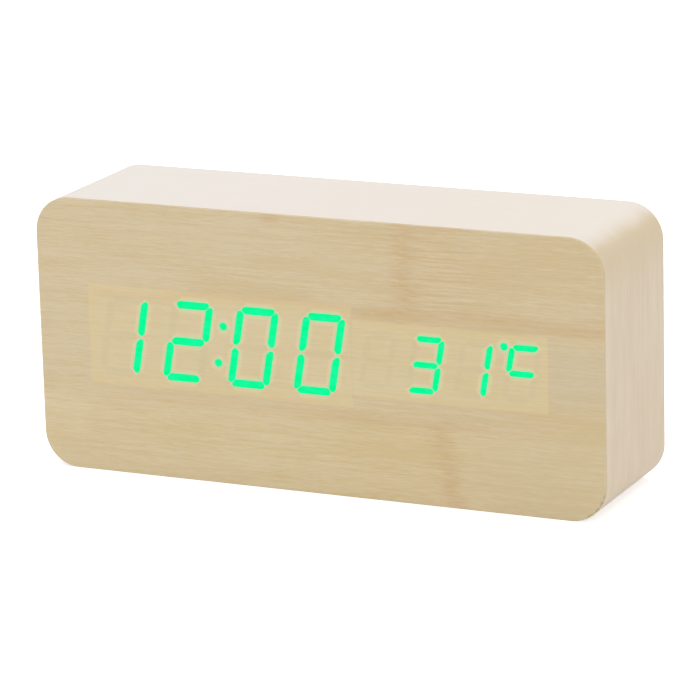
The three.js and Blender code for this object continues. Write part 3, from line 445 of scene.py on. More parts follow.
@dataclass(frozen=True)
class Finish(ABC):
    """What a piece is dressed in.

    Attributes:
        slot: The record's slot for the finish, which also names its material.
    """

    slot: str

    @cache
    def material(self) -> bpy.types.Material:
        """Build the material at the first call, and give the same one from then on.

        Returns:
            The material.
        """
        made = bpy.data.materials.new(self.slot)
        self.paint(Graph(made))
        return made

    @abstractmethod
    def paint(self, graph: Graph) -> None:
        """Feed the shader of that node tree."""


@dataclass(frozen=True)
class BambooFilm(Finish):
    """Thin bamboo film on the front, with the display's pale window and its unlit bars just showing."""

    slot: str = "bamboo_film"
    pale: Colour = srgb(213, 196, 163)
    deep: Colour = srgb(203, 181, 136)
    painted_light_low_pale: Colour = srgb(217, 200, 164)
    painted_light_low_deep: Colour = srgb(207, 185, 137)
    ruddy: Colour = srgb(205, 170, 123)
    ash: Colour = srgb(200, 189, 166)
    knot: Colour = srgb(194, 156, 108)
    window: Colour = srgb(222, 206, 157)
    frame: Colour = srgb(221, 194, 140)
    ghost: Colour = srgb(190, 178, 146)
    painted_glow_halo: Colour = srgb(234, 217, 177)
    painted_glow_spill: Colour = srgb(96, 226, 158)
    glue: Colour = srgb(128, 122, 92)
    time_x: Pair = (-61.15, 10.05)
    time_z: Pair = (22.7, 47.8)
    warm_x: Pair = (10.05, 60.85)
    warm_z: Pair = (25.7, 44.5)

    def paint(self, graph: Graph) -> None:
        """Paint the wood first, then the window in it and the light on it.

        Args:
            graph: The material's node tree.
        """
        x, _, z = graph.place()
        sway = graph.noise(x * 0.02, 3.0, z * 0.25) - 0.5
        level = z + sway * 1.6 - x * 0.006
        fibre = graph.noise(x * 0.24, 7.0, level * 4.4, 3.0, 0.68)
        streak = graph.noise(x * 0.035, 1.0, level * 1.1, 3.0, 0.6)
        patch = graph.noise(x * 0.025, 9.0, z * 0.12, 2.0)
        grain = (fibre * 0.45 + streak * 0.35 + patch * 0.2 + x * 0.0004).rise(0.38, 0.62)
        # Painted light: the film is a little paler towards the bottom, to lift the shade that falls there.
        low = z.rise(24.0, 15.0)
        pale = graph.mix(low, self.pale, self.painted_light_low_pale)
        deep = graph.mix(low, self.deep, self.painted_light_low_deep)
        colour = graph.mix(grain, pale, deep)
        warm = graph.noise(x * 0.16, 11.0, level * 2.6, 4.0, 0.7).rise(0.48, 0.72)
        cool = graph.noise(x * 0.14, 13.0, level * 2.2, 4.0, 0.7).rise(0.5, 0.74)
        colour = graph.mix(warm * 0.5, colour, self.ruddy)
        foot_grey = low * x.rise(28.0, 60.0) * 0.22
        side_grey = x.rise(59.0, 63.0) * z.within(28.0, 42.0, 4.0) * 0.3
        colour = graph.mix((cool * 0.4).most(foot_grey.most(side_grey)), colour, self.ash)
        colour = graph.mix(self.knots(graph, x, z, fibre, streak), colour, self.knot)
        in_time = z.within(*self.time_z, 0.5) * x.within(*self.time_x, 0.5)
        in_warm = z.within(*self.warm_z, 0.6) * x.within(*self.warm_x, 0.5) * x.rise(61.9, 60.1)
        shown = in_time.most(in_warm)
        inner = z.within(24.6, 45.9, 0.9) * x.within(-59.35, 9.05, 0.9)
        inner = inner.most(z.within(27.1, 43.1, 0.9) * x.within(9.05, 59.25, 0.9))
        colour = graph.mix(shown * 0.36, colour, self.window)
        colour = graph.mix((shown - inner).most(0.0) * 0.2, colour, self.frame)
        brow_at = 45.8 + x.rise(-42.0, -28.0) * 1.9
        brow = z.near(brow_at, 1.9) * x.within(-59.0, 9.0, 3.0) * (0.1 + streak * 0.36)
        sill = z.within(18.6, 21.4, 1.2) * x.within(-56.0, 6.0, 6.0) * (0.02 + streak * 0.3)
        colour = graph.mix(brow.most(sill), colour, self.ruddy)
        time_bar, time_lit = TIME.nearness(graph, x, z)
        warm_bar, warm_lit = WARMTH.nearness(graph, x, z)
        unlit = time_bar.rise(0.6, -0.5) * in_time + warm_bar.rise(0.6, -0.5) * in_warm
        colour = graph.mix(unlit * (0.06 + patch * 0.2), colour, self.ghost)
        # Painted glow: a pale halo and a green spill of light on the film round the lit bars and dots.
        lit = (time_lit + (1.0 - in_time) * 9.0).least(warm_lit + (1.0 - in_warm) * 9.0)
        colour = graph.mix(lit.rise(1.5, 0.1) * 0.5, colour, self.painted_glow_halo)
        colour = graph.mix(lit.rise(0.75, 0.0) * 0.36, colour, self.painted_glow_spill)
        off_x, off_z = (x - 66.0).most(0.0), (9.0 - z).most(0.0)
        rounded = (off_x * off_x + off_z * off_z).rise(66.0, 80.0)
        edge = rounded * off_x.rise(2.0, 4.0) * off_z.rise(1.0, 3.0)
        speck = graph.noise(x * 0.7, 23.0, z * 0.7, 2.0).rise(0.46, 0.58)
        colour = graph.mix(edge * speck * 0.5, colour, self.glue)
        graph.relief(fibre, 0.02, 0.3)
        graph.surface(Base_Color=colour, Roughness=0.44 + fibre * 0.16)

    @staticmethod
    def knots(graph: Graph, x: Value, z: Value, fibre: Value, streak: Value) -> Value:
        """Give the darker growth nodes and streaks of the three strips.

        Args:
            graph: The film's node tree.
            x: Place along X.
            z: Place along Z.
            fibre: The fine grain.
            streak: The broad grain.

        Returns:
            How strongly they show.
        """
        wave = graph.noise(4.0, 5.0, z * 0.3, 2.0, 0.6) - 0.5
        curl = graph.noise(x * 0.1, 17.0, z * 1.1, 3.0, 0.7) - 0.5
        ends = graph.noise(x * 0.08, 19.0, z * 3.4, 3.0, 0.7) - 0.5
        worn = graph.noise(x * 0.12, 21.0, z * 0.55, 3.0, 0.7).rise(0.34, 0.6)
        upper_at = 24.0 + wave * 8.0 + ends * 16.0
        lower_at = 36.6 - z * 0.17 + wave * 7.0 + ends * 16.0
        upper = x.near(upper_at, 4.0) * 0.36 + x.near(upper_at + 1.4, 7.5) * 0.26
        lower = x.near(lower_at, 4.0) * 0.32 + x.near(lower_at - 1.4, 7.5) * 0.24
        growth = (upper * z.rise(45.0, 48.5)).most(lower * z.rise(22.4, 20.8))
        spot = x.near(-11.0 + curl * 5.0, 4.5) * z.near(67.8, 2.2) * 0.6
        seam = z.near(46.9 + curl * 2.0, 3.2) * x.rise(0.0, 22.0) * (0.12 + streak * 0.7)
        foot = z.near(20.4 + curl * 2.0, 2.4) * x.within(4.0, 46.0, 10.0) * 0.34
        shade = z.rise(44.0, 48.0) * x.within(22.0, 40.0, 9.0) * streak.rise(0.42, 0.62) * 0.4
        marks = (growth * (0.35 + 0.75 * worn)).most(spot).most(seam).most(foot).most(shade)
        return marks * (0.15 + fibre * 1.2)


@dataclass(frozen=True)
class BambooWrap(Finish):
    """Bamboo foil wrapped round the block, its grain running round with it, with painted light on its top and
    painted shade on its upper corners.
    """

    slot: str = "bamboo_wrap"
    pale: Colour = srgb(216, 200, 177)
    deep: Colour = srgb(206, 187, 160)
    tan: Colour = srgb(206, 188, 154)
    painted_top_light: Colour = srgb(227, 218, 208)
    painted_top_light_left: Colour = srgb(228, 221, 215)
    rim: Colour = srgb(226, 211, 189)

    def paint(self, graph: Graph) -> None:
        """Paint the wood, then paint shade on the upper corners and light on the top.

        Args:
            graph: The material's node tree.
        """
        x, y, z = graph.place()
        fibre = graph.noise(x * 0.1, y * 4.2, z * 0.1, 3.0, 0.65)
        streak = graph.noise(x * 0.03 + 4.0, y * 0.8, z * 0.035, 3.0, 0.6)
        patch = graph.noise(x * 0.05, y * 0.09, z * 0.05, 3.0, 0.6)
        grain = (fibre * 0.4 + streak * 0.3 + patch * 0.3).rise(0.32, 0.68)
        colour = graph.mix(grain, self.pale, self.deep)
        colour = graph.mix(y.rise(-15.4, -17.0) * 0.25, colour, self.rim)
        ragged = z + (patch - 0.5) * 3.0 + (fibre - 0.5) * 1.2
        round_it = y.rise(19.95, 19.5)
        # Painted shade: a darker tan band on the upper sides and corners, below the painted light of the top.
        colour = graph.mix(ragged.rise(52.0, 63.0) * round_it * 0.7, colour, self.tan)
        # Painted light: the top is paler, a little whiter towards the left, standing in for light from above.
        painted_top_light = graph.mix(x.rise(50.0, -65.0), self.painted_top_light, self.painted_top_light_left)
        painted_top_share = ragged.rise(65.3, 69.2) * round_it * (0.98 - grain * 0.08)
        colour = graph.mix(painted_top_share, colour, painted_top_light)
        graph.relief(fibre, 0.02, 0.3)
        graph.surface(Base_Color=colour, Roughness=0.46 + fibre * 0.12, Specular_IOR_Level=0.4)


@dataclass(frozen=True)
class BambooBack(Finish):
    """Bamboo foil on the flat board at the back, with level grain."""

    slot: str = "bamboo_back"
    pale: Colour = srgb(216, 199, 168)
    deep: Colour = srgb(203, 182, 144)

    def paint(self, graph: Graph) -> None:
        """Paint fine fibres over broad streaks.

        Args:
            graph: The material's node tree.
        """
        x, _, z = graph.place()
        fibre = graph.noise(x * 0.04, 2.0, z * 4.0, 3.0, 0.6)
        streak = graph.noise(x * 0.012, 6.0, z * 0.8, 3.0, 0.55)
        grain = (fibre * 0.5 + streak * 0.5).rise(0.34, 0.66)
        graph.relief(fibre, 0.03, 0.35)
        graph.surface(Base_Color=graph.mix(grain, self.pale, self.deep), Roughness=0.45 + fibre * 0.16)


@dataclass(frozen=True)
class RawFibre(Finish):
    """Raw fibreboard, matt and flecked."""

    slot: str = "fibreboard"
    pale: Colour = srgb(188, 154, 112)
    deep: Colour = srgb(158, 122, 82)

    def paint(self, graph: Graph) -> None:
        """Paint flecks all over.

        Args:
            graph: The material's node tree.
        """
        fleck = graph.noise(*(part * 1.8 for part in graph.place()), 4.0, 0.7)
        colour = graph.mix(fleck.rise(0.35, 0.68), self.pale, self.deep)
        graph.relief(fleck, 0.12, 0.5)
        graph.surface(Base_Color=colour, Roughness=0.8 + fleck * 0.15)


@dataclass(frozen=True)
class Glow(Finish):
    """Light from the display, seen through the film's grain."""

    slot: str = "display_glow"
    bright: Colour = srgb(0, 252, 146)
    dim: Colour = srgb(28, 252, 165)
    unlit: Colour = srgb(0, 12, 6)

    def paint(self, graph: Graph) -> None:
        """Paint the light, dimmer under each fibre.

        Args:
            graph: The material's node tree.
        """
        x, _, z = graph.place()
        fibre = graph.noise(x * 0.3, 7.0, z * 1.1, 3.0, 0.6)
        graph.surface(
            Base_Color=self.unlit,
            Emission_Color=graph.mix(fibre.rise(0.34, 0.66), self.bright, self.dim),
            Emission_Strength=1.0,
            Roughness=0.5 + fibre * 0.1,
            Specular_IOR_Level=0.0,
        )


@dataclass(frozen=True)
class Diffuser(Finish):
    """Milky light guide, tinted by the light in it."""

    slot: str = "display_glow"
    milk: Colour = srgb(206, 232, 214)
    tint: Colour = srgb(120, 226, 176)

    def paint(self, graph: Graph) -> None:
        """Paint milk that takes on the light's tint towards the film.

        Args:
            graph: The material's node tree.
        """
        x, y, z = graph.place()
        cloud = graph.noise(x * 0.3, y * 0.5, z * 0.3, 3.0)
        colour = graph.mix(y.rise(-13.0, -19.0) * (0.5 + cloud * 0.4), self.milk, self.tint)
        graph.surface(Base_Color=colour, Roughness=0.3 + cloud * 0.2)


@dataclass(frozen=True)
class Moulding(Finish):
    """Moulded plastic or rubber with a fine texture.

    Attributes:
        colour: Its colour.
        worn: Its colour where handling has polished it.
        roughness: How matt it is.
        grit: How many grains of the texture lie in a millimetre.
        depth: How deep the texture is in millimetres.
    """

    colour: Colour
    worn: Colour
    roughness: float
    grit: float
    depth: float

    def paint(self, graph: Graph) -> None:
        """Paint the texture, with wear in broad clouds.

        Args:
            graph: The material's node tree.
        """
        place = graph.place()
        spark = graph.noise(*(part * self.grit for part in place), 3.0, 0.6)
        cloud = graph.noise(*(part * 0.06 for part in place), 3.0)
        colour = graph.mix(cloud.rise(0.4, 0.75) * 0.6 + spark * 0.3, self.colour, self.worn)
        graph.relief(spark, self.depth, 0.6)
        graph.surface(Base_Color=colour, Roughness=self.roughness - 0.06 + cloud * 0.12)


@dataclass(frozen=True)
class Plating(Finish):
    """Plated or tinned metal with drawn lines and light tarnish.

    Attributes:
        colour: Its bright colour.
        tarnish: Its colour where it has dulled.
        roughness: How dull the brightest part is.
    """

    colour: Colour
    tarnish: Colour
    roughness: float

    def paint(self, graph: Graph) -> None:
        """Paint the metal, with tarnish in clouds.

        Args:
            graph: The material's node tree.
        """
        x, y, z = graph.place()
        drawn = graph.noise(x * 0.6, y * 0.6, z * 9.0, 2.0)
        cloud = graph.noise(x * 0.35, y * 0.35, z * 0.35, 4.0, 0.6)
        colour = graph.mix(cloud.rise(0.42, 0.72) * 0.7, self.colour, self.tarnish)
        graph.relief(drawn, 0.01, 0.3)
        graph.surface(Base_Color=colour, Metallic=1.0, Roughness=self.roughness + cloud * 0.18)


@dataclass(frozen=True)
class SolderMask(Finish):
    """Green circuit board with faint copper tracks under its mask, and pale lamps on its front."""

    slot: str = "circuit_board"
    mask: Colour = srgb(26, 84, 48)
    track: Colour = srgb(44, 118, 66)
    lamp: Colour = srgb(240, 230, 186)
    lamp_from: float = -12.22
    track_pitch: float = 1.6

    def paint(self, graph: Graph) -> None:
        """Paint tracks in patches, and whatever stands proud of the front as a lamp.

        Args:
            graph: The material's node tree.
        """
        x, y, z = graph.place()
        bend = graph.noise(x * 0.07, 1.0, z * 0.07, 1.0) * 9.0
        run = abs((z + bend.floor() * 0.7) % self.track_pitch - self.track_pitch / 2).rise(0.34, 0.26)
        area = graph.noise(x * 0.05, 9.0, z * 0.05, 1.0).rise(0.46, 0.5)
        colour = graph.mix(run * area, self.mask, self.track)
        colour = graph.mix(y.rise(self.lamp_from, self.lamp_from - 0.04), colour, self.lamp)
        graph.relief(run * area, 0.03, 0.6)
        graph.surface(Base_Color=colour, Roughness=0.34 + area * 0.1)


@dataclass(frozen=True)
class CellJacket(Finish):
    """Foil jacket of a battery cell, with a pale band at its raised end and bare metal beyond.

    Attributes:
        raised_end: Where the jacket ends along X at the raised contact.
        inward: Direction from that end along the cell, 1 or -1.
        length: How long the jacket is.
    """

    raised_end: float
    inward: float
    length: float
    dark: Colour = srgb(44, 62, 82)
    pale: Colour = srgb(196, 200, 204)
    scuffed: Colour = srgb(120, 128, 136)
    metal: Colour = srgb(205, 203, 197)
    band: Pair = (-1.0, 9.0)

    def paint(self, graph: Graph) -> None:
        """Paint the jacket, its band, its scuffs and the bare ends.

        Args:
            graph: The material's node tree.
        """
        x, y, z = graph.place()
        along = (x - self.raised_end) * self.inward
        scuff = graph.noise(x * 0.25, y * 2.0, z * 2.0, 4.0, 0.65)
        bare = along.rise(0.06, 0.0).most(along.rise(self.length - 0.06, self.length))
        colour = graph.mix(along.within(*self.band, 0.05), self.dark, self.pale)
        colour = graph.mix(scuff.rise(0.6, 0.85) * 0.25, colour, self.scuffed)
        colour = graph.mix(bare, colour, self.metal)
        graph.surface(Base_Color=colour, Metallic=0.35 + bare * 0.65, Roughness=0.24 + scuff * 0.16)


@dataclass(frozen=True)
class RibbonCable(Finish):
    """Grey flat cable whose wires differ a little in tone."""

    slot: str = "ribbon_grey"
    sleeve: Colour = srgb(176, 180, 186)
    shade: Colour = srgb(146, 150, 156)
    pitch: float = 0.8

    def paint(self, graph: Graph) -> None:
        """Paint each wire in a tone of its own, under a little dust.

        Args:
            graph: The material's node tree.
        """
        x, y, z = graph.place()
        wire = graph.noise(((z - 0.1) / self.pitch).floor() * 3.7, 1.0, 5.0, 0.0)
        dust = graph.noise(x * 0.8, y * 0.8, z * 0.8, 3.0)
        colour = graph.mix(wire.rise(0.3, 0.7) * 0.6 + dust * 0.3, self.sleeve, self.shade)
        graph.surface(Base_Color=colour, Roughness=0.42 + dust * 0.12)


PANEL_BLACK = Moulding("panel_black", srgb(24, 24, 25), srgb(40, 40, 42), 0.5, 3.2, 0.045)
MOULDED_BLACK = Moulding("moulded_black", srgb(25, 25, 26), srgb(38, 38, 40), 0.58, 3.0, 0.02)
SOCKET_BLACK = Moulding("socket_black", srgb(22, 22, 24), srgb(34, 34, 37), 0.3, 2.0, 0.005)
KEY_RUBBER = Moulding("key_rubber", srgb(48, 48, 50), srgb(64, 64, 67), 0.72, 7.0, 0.015)
PLUNGER_GREY = Moulding("plunger_grey", srgb(86, 88, 91), srgb(104, 106, 110), 0.45, 3.0, 0.01)
REFLECTOR_WHITE = Moulding("reflector_plastic", srgb(232, 230, 221), srgb(214, 211, 200), 0.5, 3.0, 0.01)
RED_SLEEVE = Moulding("red_wire", srgb(176, 32, 30), srgb(150, 24, 24), 0.42, 2.0, 0.01)
BLACK_SLEEVE = Moulding("black_wire", srgb(30, 30, 32), srgb(44, 44, 47), 0.42, 2.0, 0.01)
NICKEL = Plating("nickel_plate", srgb(206, 202, 190), srgb(168, 160, 142), 0.2)
STEEL = Plating("screw_steel", srgb(186, 189, 193), srgb(140, 143, 148), 0.26)
TIN = Plating("tinned_can", srgb(196, 200, 204), srgb(160, 164, 168), 0.3)


def arc(centre: Pair, radius: float, start: float, end: float, steps: int = 5) -> list[Pair]:
    """Give points round part of a circle.

    Args:
        centre: Its centre.
        radius: Its radius.
        start: The first angle in degrees, from the first direction towards the second.
        end: The last angle in degrees.
        steps: How many parts it is split into.

    Returns:
        The points, with both ends.
    """
    angles = [math.radians(start + (end - start) * i / steps) for i in range(steps + 1)]
    return [(centre[0] + radius * math.cos(angle), centre[1] + radius * math.sin(angle)) for angle in angles]


def rim(end: float, radius: float, rounding: float, steps: int = 5) -> list[Pair]:
    """Give points round the outer edge of a spun shape that ends at that place with that radius."""
    return arc((end - rounding, radius - rounding), rounding, 90.0, 0.0, steps)


def bend(start: Point, end: float, sway: Pair, steps: int = 32) -> list[Point]:
    """Give points along a wire that bends once each way and leaves and arrives straight along Y.

    Args:
        start: Where it starts.
        end: Where it ends along Y.
        sway: How far it goes across along X and Z.
        steps: How many parts it is split into.

    Returns:
        The points, with both ends.
    """
    x, first, z = start
    middle = (first + end) / 2
    points: list[Point] = []
    for step in range(steps + 1):
        t = step / steps
        share = t * t * (3 - 2 * t)
        reach = (1 - t) ** 3 * first + 3 * (1 - t) * t * middle + t**3 * end
        points.append((x + sway[0] * share, reach, z + sway[1] * share))
    return points


class Axis(Enum):
    """A direction that a rod can lie along, with the turn that lays it there."""

    X = (0.0, math.pi / 2, 0.0)
    Y = (-math.pi / 2, 0.0, 0.0)


class Piece:
    """A mesh on the bench, with its place kept in its vertices."""

    def __init__(self, obj: bpy.types.Object) -> None:
        """Take up an object."""
        self.obj = obj

    @staticmethod
    def rest() -> None:
        """Leave edit mode and deselect everything."""
        if bpy.context.object is not None and bpy.context.object.mode != "OBJECT":
            bpy.ops.object.mode_set(mode="OBJECT")
        bpy.ops.object.select_all(action="DESELECT")

    @staticmethod
    def discard(*models: "Piece") -> None:
        """Take away models that have been copied or used up."""
        for model in models:
            bpy.data.objects.remove(model.obj)

    @classmethod
    def started(cls, name: str) -> "Piece":
        """Take up the primitive that was just added, with its place applied."""
        bpy.ops.object.transform_apply(location=True, rotation=True, scale=True)
        return cls(bpy.context.object).named(name)

    @classmethod
    def block(cls, name: str, low: Point, high: Point) -> "Piece":
        """Start from a block.

        Args:
            name: The piece's name.
            low: Its lowest corner in millimetres.
            high: Its highest corner.

        Returns:
            The piece.
        """
        cls.rest()
        middle = [(a + b) / 2 * MM for a, b in zip(low, high)]
        bpy.ops.mesh.primitive_cube_add(size=1.0, location=middle)
        bpy.context.object.scale = [(b - a) * MM for a, b in zip(low, high)]
        return cls.started(name)

    @classmethod
    def slab(cls, name: str, centre: Pair, half: Pair, first: float, last: float) -> "Piece":
        """Start from a block with that middle and half size along X and Z, between two places along Y."""
        (x, z), (across, up) = centre, half
        return cls.block(name, (x - across, first, z - up), (x + across, last, z + up))

    @classmethod
    def rod(
        cls, name: str, radius: float, start: Point, length: float, axis: Axis = Axis.Y, sides: int = 48
    ) -> "Piece":
        """Start from a round rod.

        Args:
            name: The piece's name.
            radius: Its radius in millimetres.
            start: The middle of its first end.
            length: How far it goes from there along the axis.
            axis: The axis it lies along.
            sides: How many sides it has.

        Returns:
            The piece.
        """
        cls.rest()
        middle = Vector(start)
        middle["XY".index(axis.name)] += length / 2
        bpy.ops.mesh.primitive_cylinder_add(
            vertices=sides, radius=radius * MM, depth=length * MM, location=middle * MM, rotation=axis.value
        )
        return cls.started(name)

    @classmethod
    def lathe(
        cls, name: str, centre: Point, outline: Sequence[Pair], steps: int = 64, axis: Axis = Axis.Y
    ) -> "Piece":
        """Start from an outline spun about an axis.

        Args:
            name: The piece's name.
            centre: Where the axis passes, in millimetres.
            outline: Places along the axis with their radii, from one end to the other.
            steps: How many sides it gets.
            axis: The axis that it is spun about.

        Returns:
            The piece.
        """
        cls.rest()
        along = Vector([float(letter == axis.name) for letter in "XYZ"])
        middle = Vector(centre)
        points = [(middle + along * place + Vector((0.0, 0.0, radius))) * MM for place, radius in outline]
        mesh = bpy.data.meshes.new(name)
        mesh.from_pydata(points, [(i, i + 1) for i in range(len(points) - 1)], [])
        obj = bpy.data.objects.new(name, mesh)
        bpy.context.scene.collection.objects.link(obj)

        def work() -> None:
            """Spin the outline once round and close it."""
            bpy.ops.mesh.spin(steps=steps, angle=math.tau, center=middle * MM, axis=along)
            bpy.ops.mesh.select_all(action="SELECT")
            bpy.ops.mesh.remove_doubles(threshold=CLOSE * MM)
            bpy.ops.mesh.normals_make_consistent(inside=False)

        return cls(obj).edit(work, lambda a, b: True).settle()

    @classmethod
    def tube(cls, name: str, radius: float, points: Sequence[Point], sides: int = 3) -> "Piece":
        """Start from a round wire with closed ends.

        Args:
            name: The piece's name.
            radius: The wire's radius in millimetres.
            points: Places along its middle in millimetres.
            sides: How finely it is rounded.

        Returns:
            The piece.
        """
        cls.rest()
        line = bpy.data.curves.new(name, "CURVE")
        line.dimensions = "3D"
        line.bevel_depth = radius * MM
        line.bevel_resolution = sides
        line.use_fill_caps = True
        spline = line.splines.new("POLY")
        spline.points.add(len(points) - 1)
        for point, place in zip(spline.points, points):
            point.co = (*(part * MM for part in place), 1.0)
        obj = bpy.data.objects.new(name, line)
        bpy.context.scene.collection.objects.link(obj)
        cls(obj).take()
        bpy.ops.object.convert(target="MESH")
        return cls.started(name).edit(lambda: bpy.ops.mesh.normals_make_consistent(inside=False))

    def named(self, name: str) -> "Piece":
        """Name the object and its mesh."""
        self.obj.name = self.obj.data.name = name
        return self

    def settle(self) -> "Piece":
        """Sort its points and faces by place, because a spin can leave them in another order on each run.

        Returns:
            This piece.
        """
        mesh = self.obj.data
        places = sorted((tuple(vertex.co), vertex.index) for vertex in mesh.vertices)
        rank = {index: number for number, (_, index) in enumerate(places)}
        loops = [[rank[index] for index in polygon.vertices] for polygon in mesh.polygons]
        firsts = [loop.index(min(loop)) for loop in loops]
        faces = sorted(loop[first:] + loop[:first] for loop, first in zip(loops, firsts))
        mesh.clear_geometry()
        mesh.from_pydata([place for place, _ in places], [], faces)
        return self

    def take(self) -> None:
        """Make this the only selected and active object."""
        self.rest()
        self.obj.select_set(True)
        bpy.context.view_layer.objects.active = self.obj

    def edit(
        self, work: Callable[[], object], edges: Test | None = None, faces: Test | None = None
    ) -> "Piece":
        """Do work in edit mode on what two tests pick.

        Args:
            work: The operators to run.
            edges: Picks edges by their two ends in millimetres; with neither test, all is picked.
            faces: Picks faces by their middle in millimetres and their normal.

        Returns:
            This piece.
        """
        self.take()
        bpy.ops.object.mode_set(mode="EDIT")
        bpy.context.tool_settings.mesh_select_mode = (False, edges is not None, edges is None)
        bpy.ops.mesh.select_all(action="SELECT" if edges is None and faces is None else "DESELECT")
        mesh = bmesh.from_edit_mesh(self.obj.data)
        for edge in mesh.edges if edges else ():
            if edges(edge.verts[0].co / MM, edge.verts[1].co / MM):
                edge.select_set(True)
        for face in mesh.faces if faces else ():
            if faces(face.calc_center_median() / MM, face.normal):
                face.select_set(True)
        bmesh.update_edit_mesh(self.obj.data)
        work()
        bpy.ops.object.mode_set(mode="OBJECT")
        return self

    def round_edges(self, edges: Test, radius: float, segments: int) -> "Piece":
        """Round the picked edges to a radius in millimetres, with that many facets."""
        bevel = partial(bpy.ops.mesh.bevel, segments=segments, affect="EDGES", clamp_overlap=True)
        return self.edit(partial(bevel, offset=radius * MM), edges)

    def round_corners(
        self, radius: float, segments: int, picked: Callable[[Vector], bool] | None = None
    ) -> "Piece":
        """Round the edges that run straight along Y.

        Args:
            radius: The radius in millimetres.
            segments: How many facets it gets; one makes a flat cut.
            picked: Picks edges by the place of one end in millimetres; all of them without it.

        Returns:
            This piece.
        """

        def along_y(a: Vector, b: Vector) -> bool:
            """Tell whether the edge runs along Y and is picked."""
            straight = abs(a.y - b.y) > 10 * CLOSE and (a.xz - b.xz).length < CLOSE
            return straight and (picked is None or picked(a))

        return self.round_edges(along_y, radius, segments)

    def round_rim(self, y: float, radius: float, segments: int = 3) -> "Piece":
        """Round the outline that lies in the plane at that place along Y."""
        return self.round_edges(lambda a, b: max(abs(a.y - y), abs(b.y - y)) < CLOSE, radius, segments)

    def tunnel(self, wall: float) -> "Piece":
        """Hollow it right through along Y.

        Args:
            wall: How thick the wall is that stays, in millimetres.

        Returns:
            This piece.
        """

        def work() -> None:
            """Inset both ends and bridge them."""
            bpy.ops.mesh.inset(thickness=wall * MM, depth=0.0)
            bpy.ops.mesh.bridge_edge_loops()

        return self.edit(work, None, lambda centre, normal: abs(normal.y) > 0.9)

    def apply(self, kind: str, **settings: object) -> "Piece":
        """Add a modifier and apply it.

        Args:
            kind: The modifier's type.
            settings: Its settings by name.

        Returns:
            This piece.
        """
        self.take()
        modifier = self.obj.modifiers.new(kind.title(), kind)
        for key, setting in settings.items():
            setattr(modifier, key, setting)
        bpy.ops.object.modifier_apply(modifier=modifier.name)
        return self

    def combine(self, operation: str, others: Iterable["Piece"]) -> "Piece":
        """Join or cut this piece with others, which are used up.

        Args:
            operation: UNION or DIFFERENCE.
            others: The other pieces.

        Returns:
            This piece.
        """
        for other in others:
            self.apply("BOOLEAN", operation=operation, solver="EXACT", object=other.obj)
            self.discard(other)

        def work() -> None:
            """Merge doubled points and drop edges that lie within a flat face."""
            bpy.ops.mesh.remove_doubles(threshold=CLOSE * MM)
            bpy.ops.mesh.dissolve_limited(angle_limit=math.radians(0.2))

        return self.edit(work)

    def cut(self, *others: "Piece") -> "Piece":
        """Cut the others out of this piece."""
        return self.combine("DIFFERENCE", others)

    def add(self, *others: "Piece") -> "Piece":
        """Fuse the others with this piece."""
        return self.combine("UNION", others)

    def gather(self, *others: "Piece") -> "Piece":
        """Take others into this object as loose parts.

        Args:
            others: The other pieces.

        Returns:
            This piece.
        """
        self.take()
        for other in others:
            other.obj.select_set(True)
        bpy.ops.object.join()
        return self

    def ease(self, width: float, segments: int = 2, degrees: float = 40.0) -> "Piece":
        """Break the sharp edges all over.

        Args:
            width: How far back they are cut, in millimetres.
            segments: How many facets each gets.
            degrees: How far its two faces turn at a sharp edge, or more.

        Returns:
            This piece.
        """
        return self.apply(
            "BEVEL",
            width=width * MM,
            segments=segments,
            limit_method="ANGLE",
            angle_limit=math.radians(degrees),
            use_clamp_overlap=True,
            miter_outer="MITER_ARC",
        )

    def smooth(self, degrees: float = 32.0) -> "Piece":
        """Shade it smooth, with sharp edges kept.

        Args:
            degrees: How far its two faces turn at a sharp edge, or more.

        Returns:
            This piece.
        """
        self.take()
        bpy.ops.object.shade_smooth_by_angle(angle=math.radians(degrees))
        return self.apply("WEIGHTED_NORMAL", keep_sharp=True)

    def copied(self, name: str, shift: Point) -> "Piece":
        """Make a copy with a mesh of its own.

        Args:
            name: The copy's name.
            shift: How far it is moved, in millimetres.

        Returns:
            The copy.
        """
        obj = self.obj.copy()
        obj.data = self.obj.data.copy()
        obj.data.transform(Matrix.Translation(Vector(shift) * MM))
        bpy.context.scene.collection.objects.link(obj)
        return Piece(obj).named(name)

    def fit(self, finish: Finish, *nodes: str, body: str = "case") -> None:
        """Dress the piece and fix it to its body.

        Args:
            finish: What it is dressed in.
            nodes: The solids that it stands for.
            body: The body that it rides on.
        """
        self.obj.data.materials.clear()
        self.obj.data.materials.append(finish.material())
        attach(self.obj, body)
        if nodes:
            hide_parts(*nodes)
        LOG.info("%s rides on %s", self.obj.name, body)


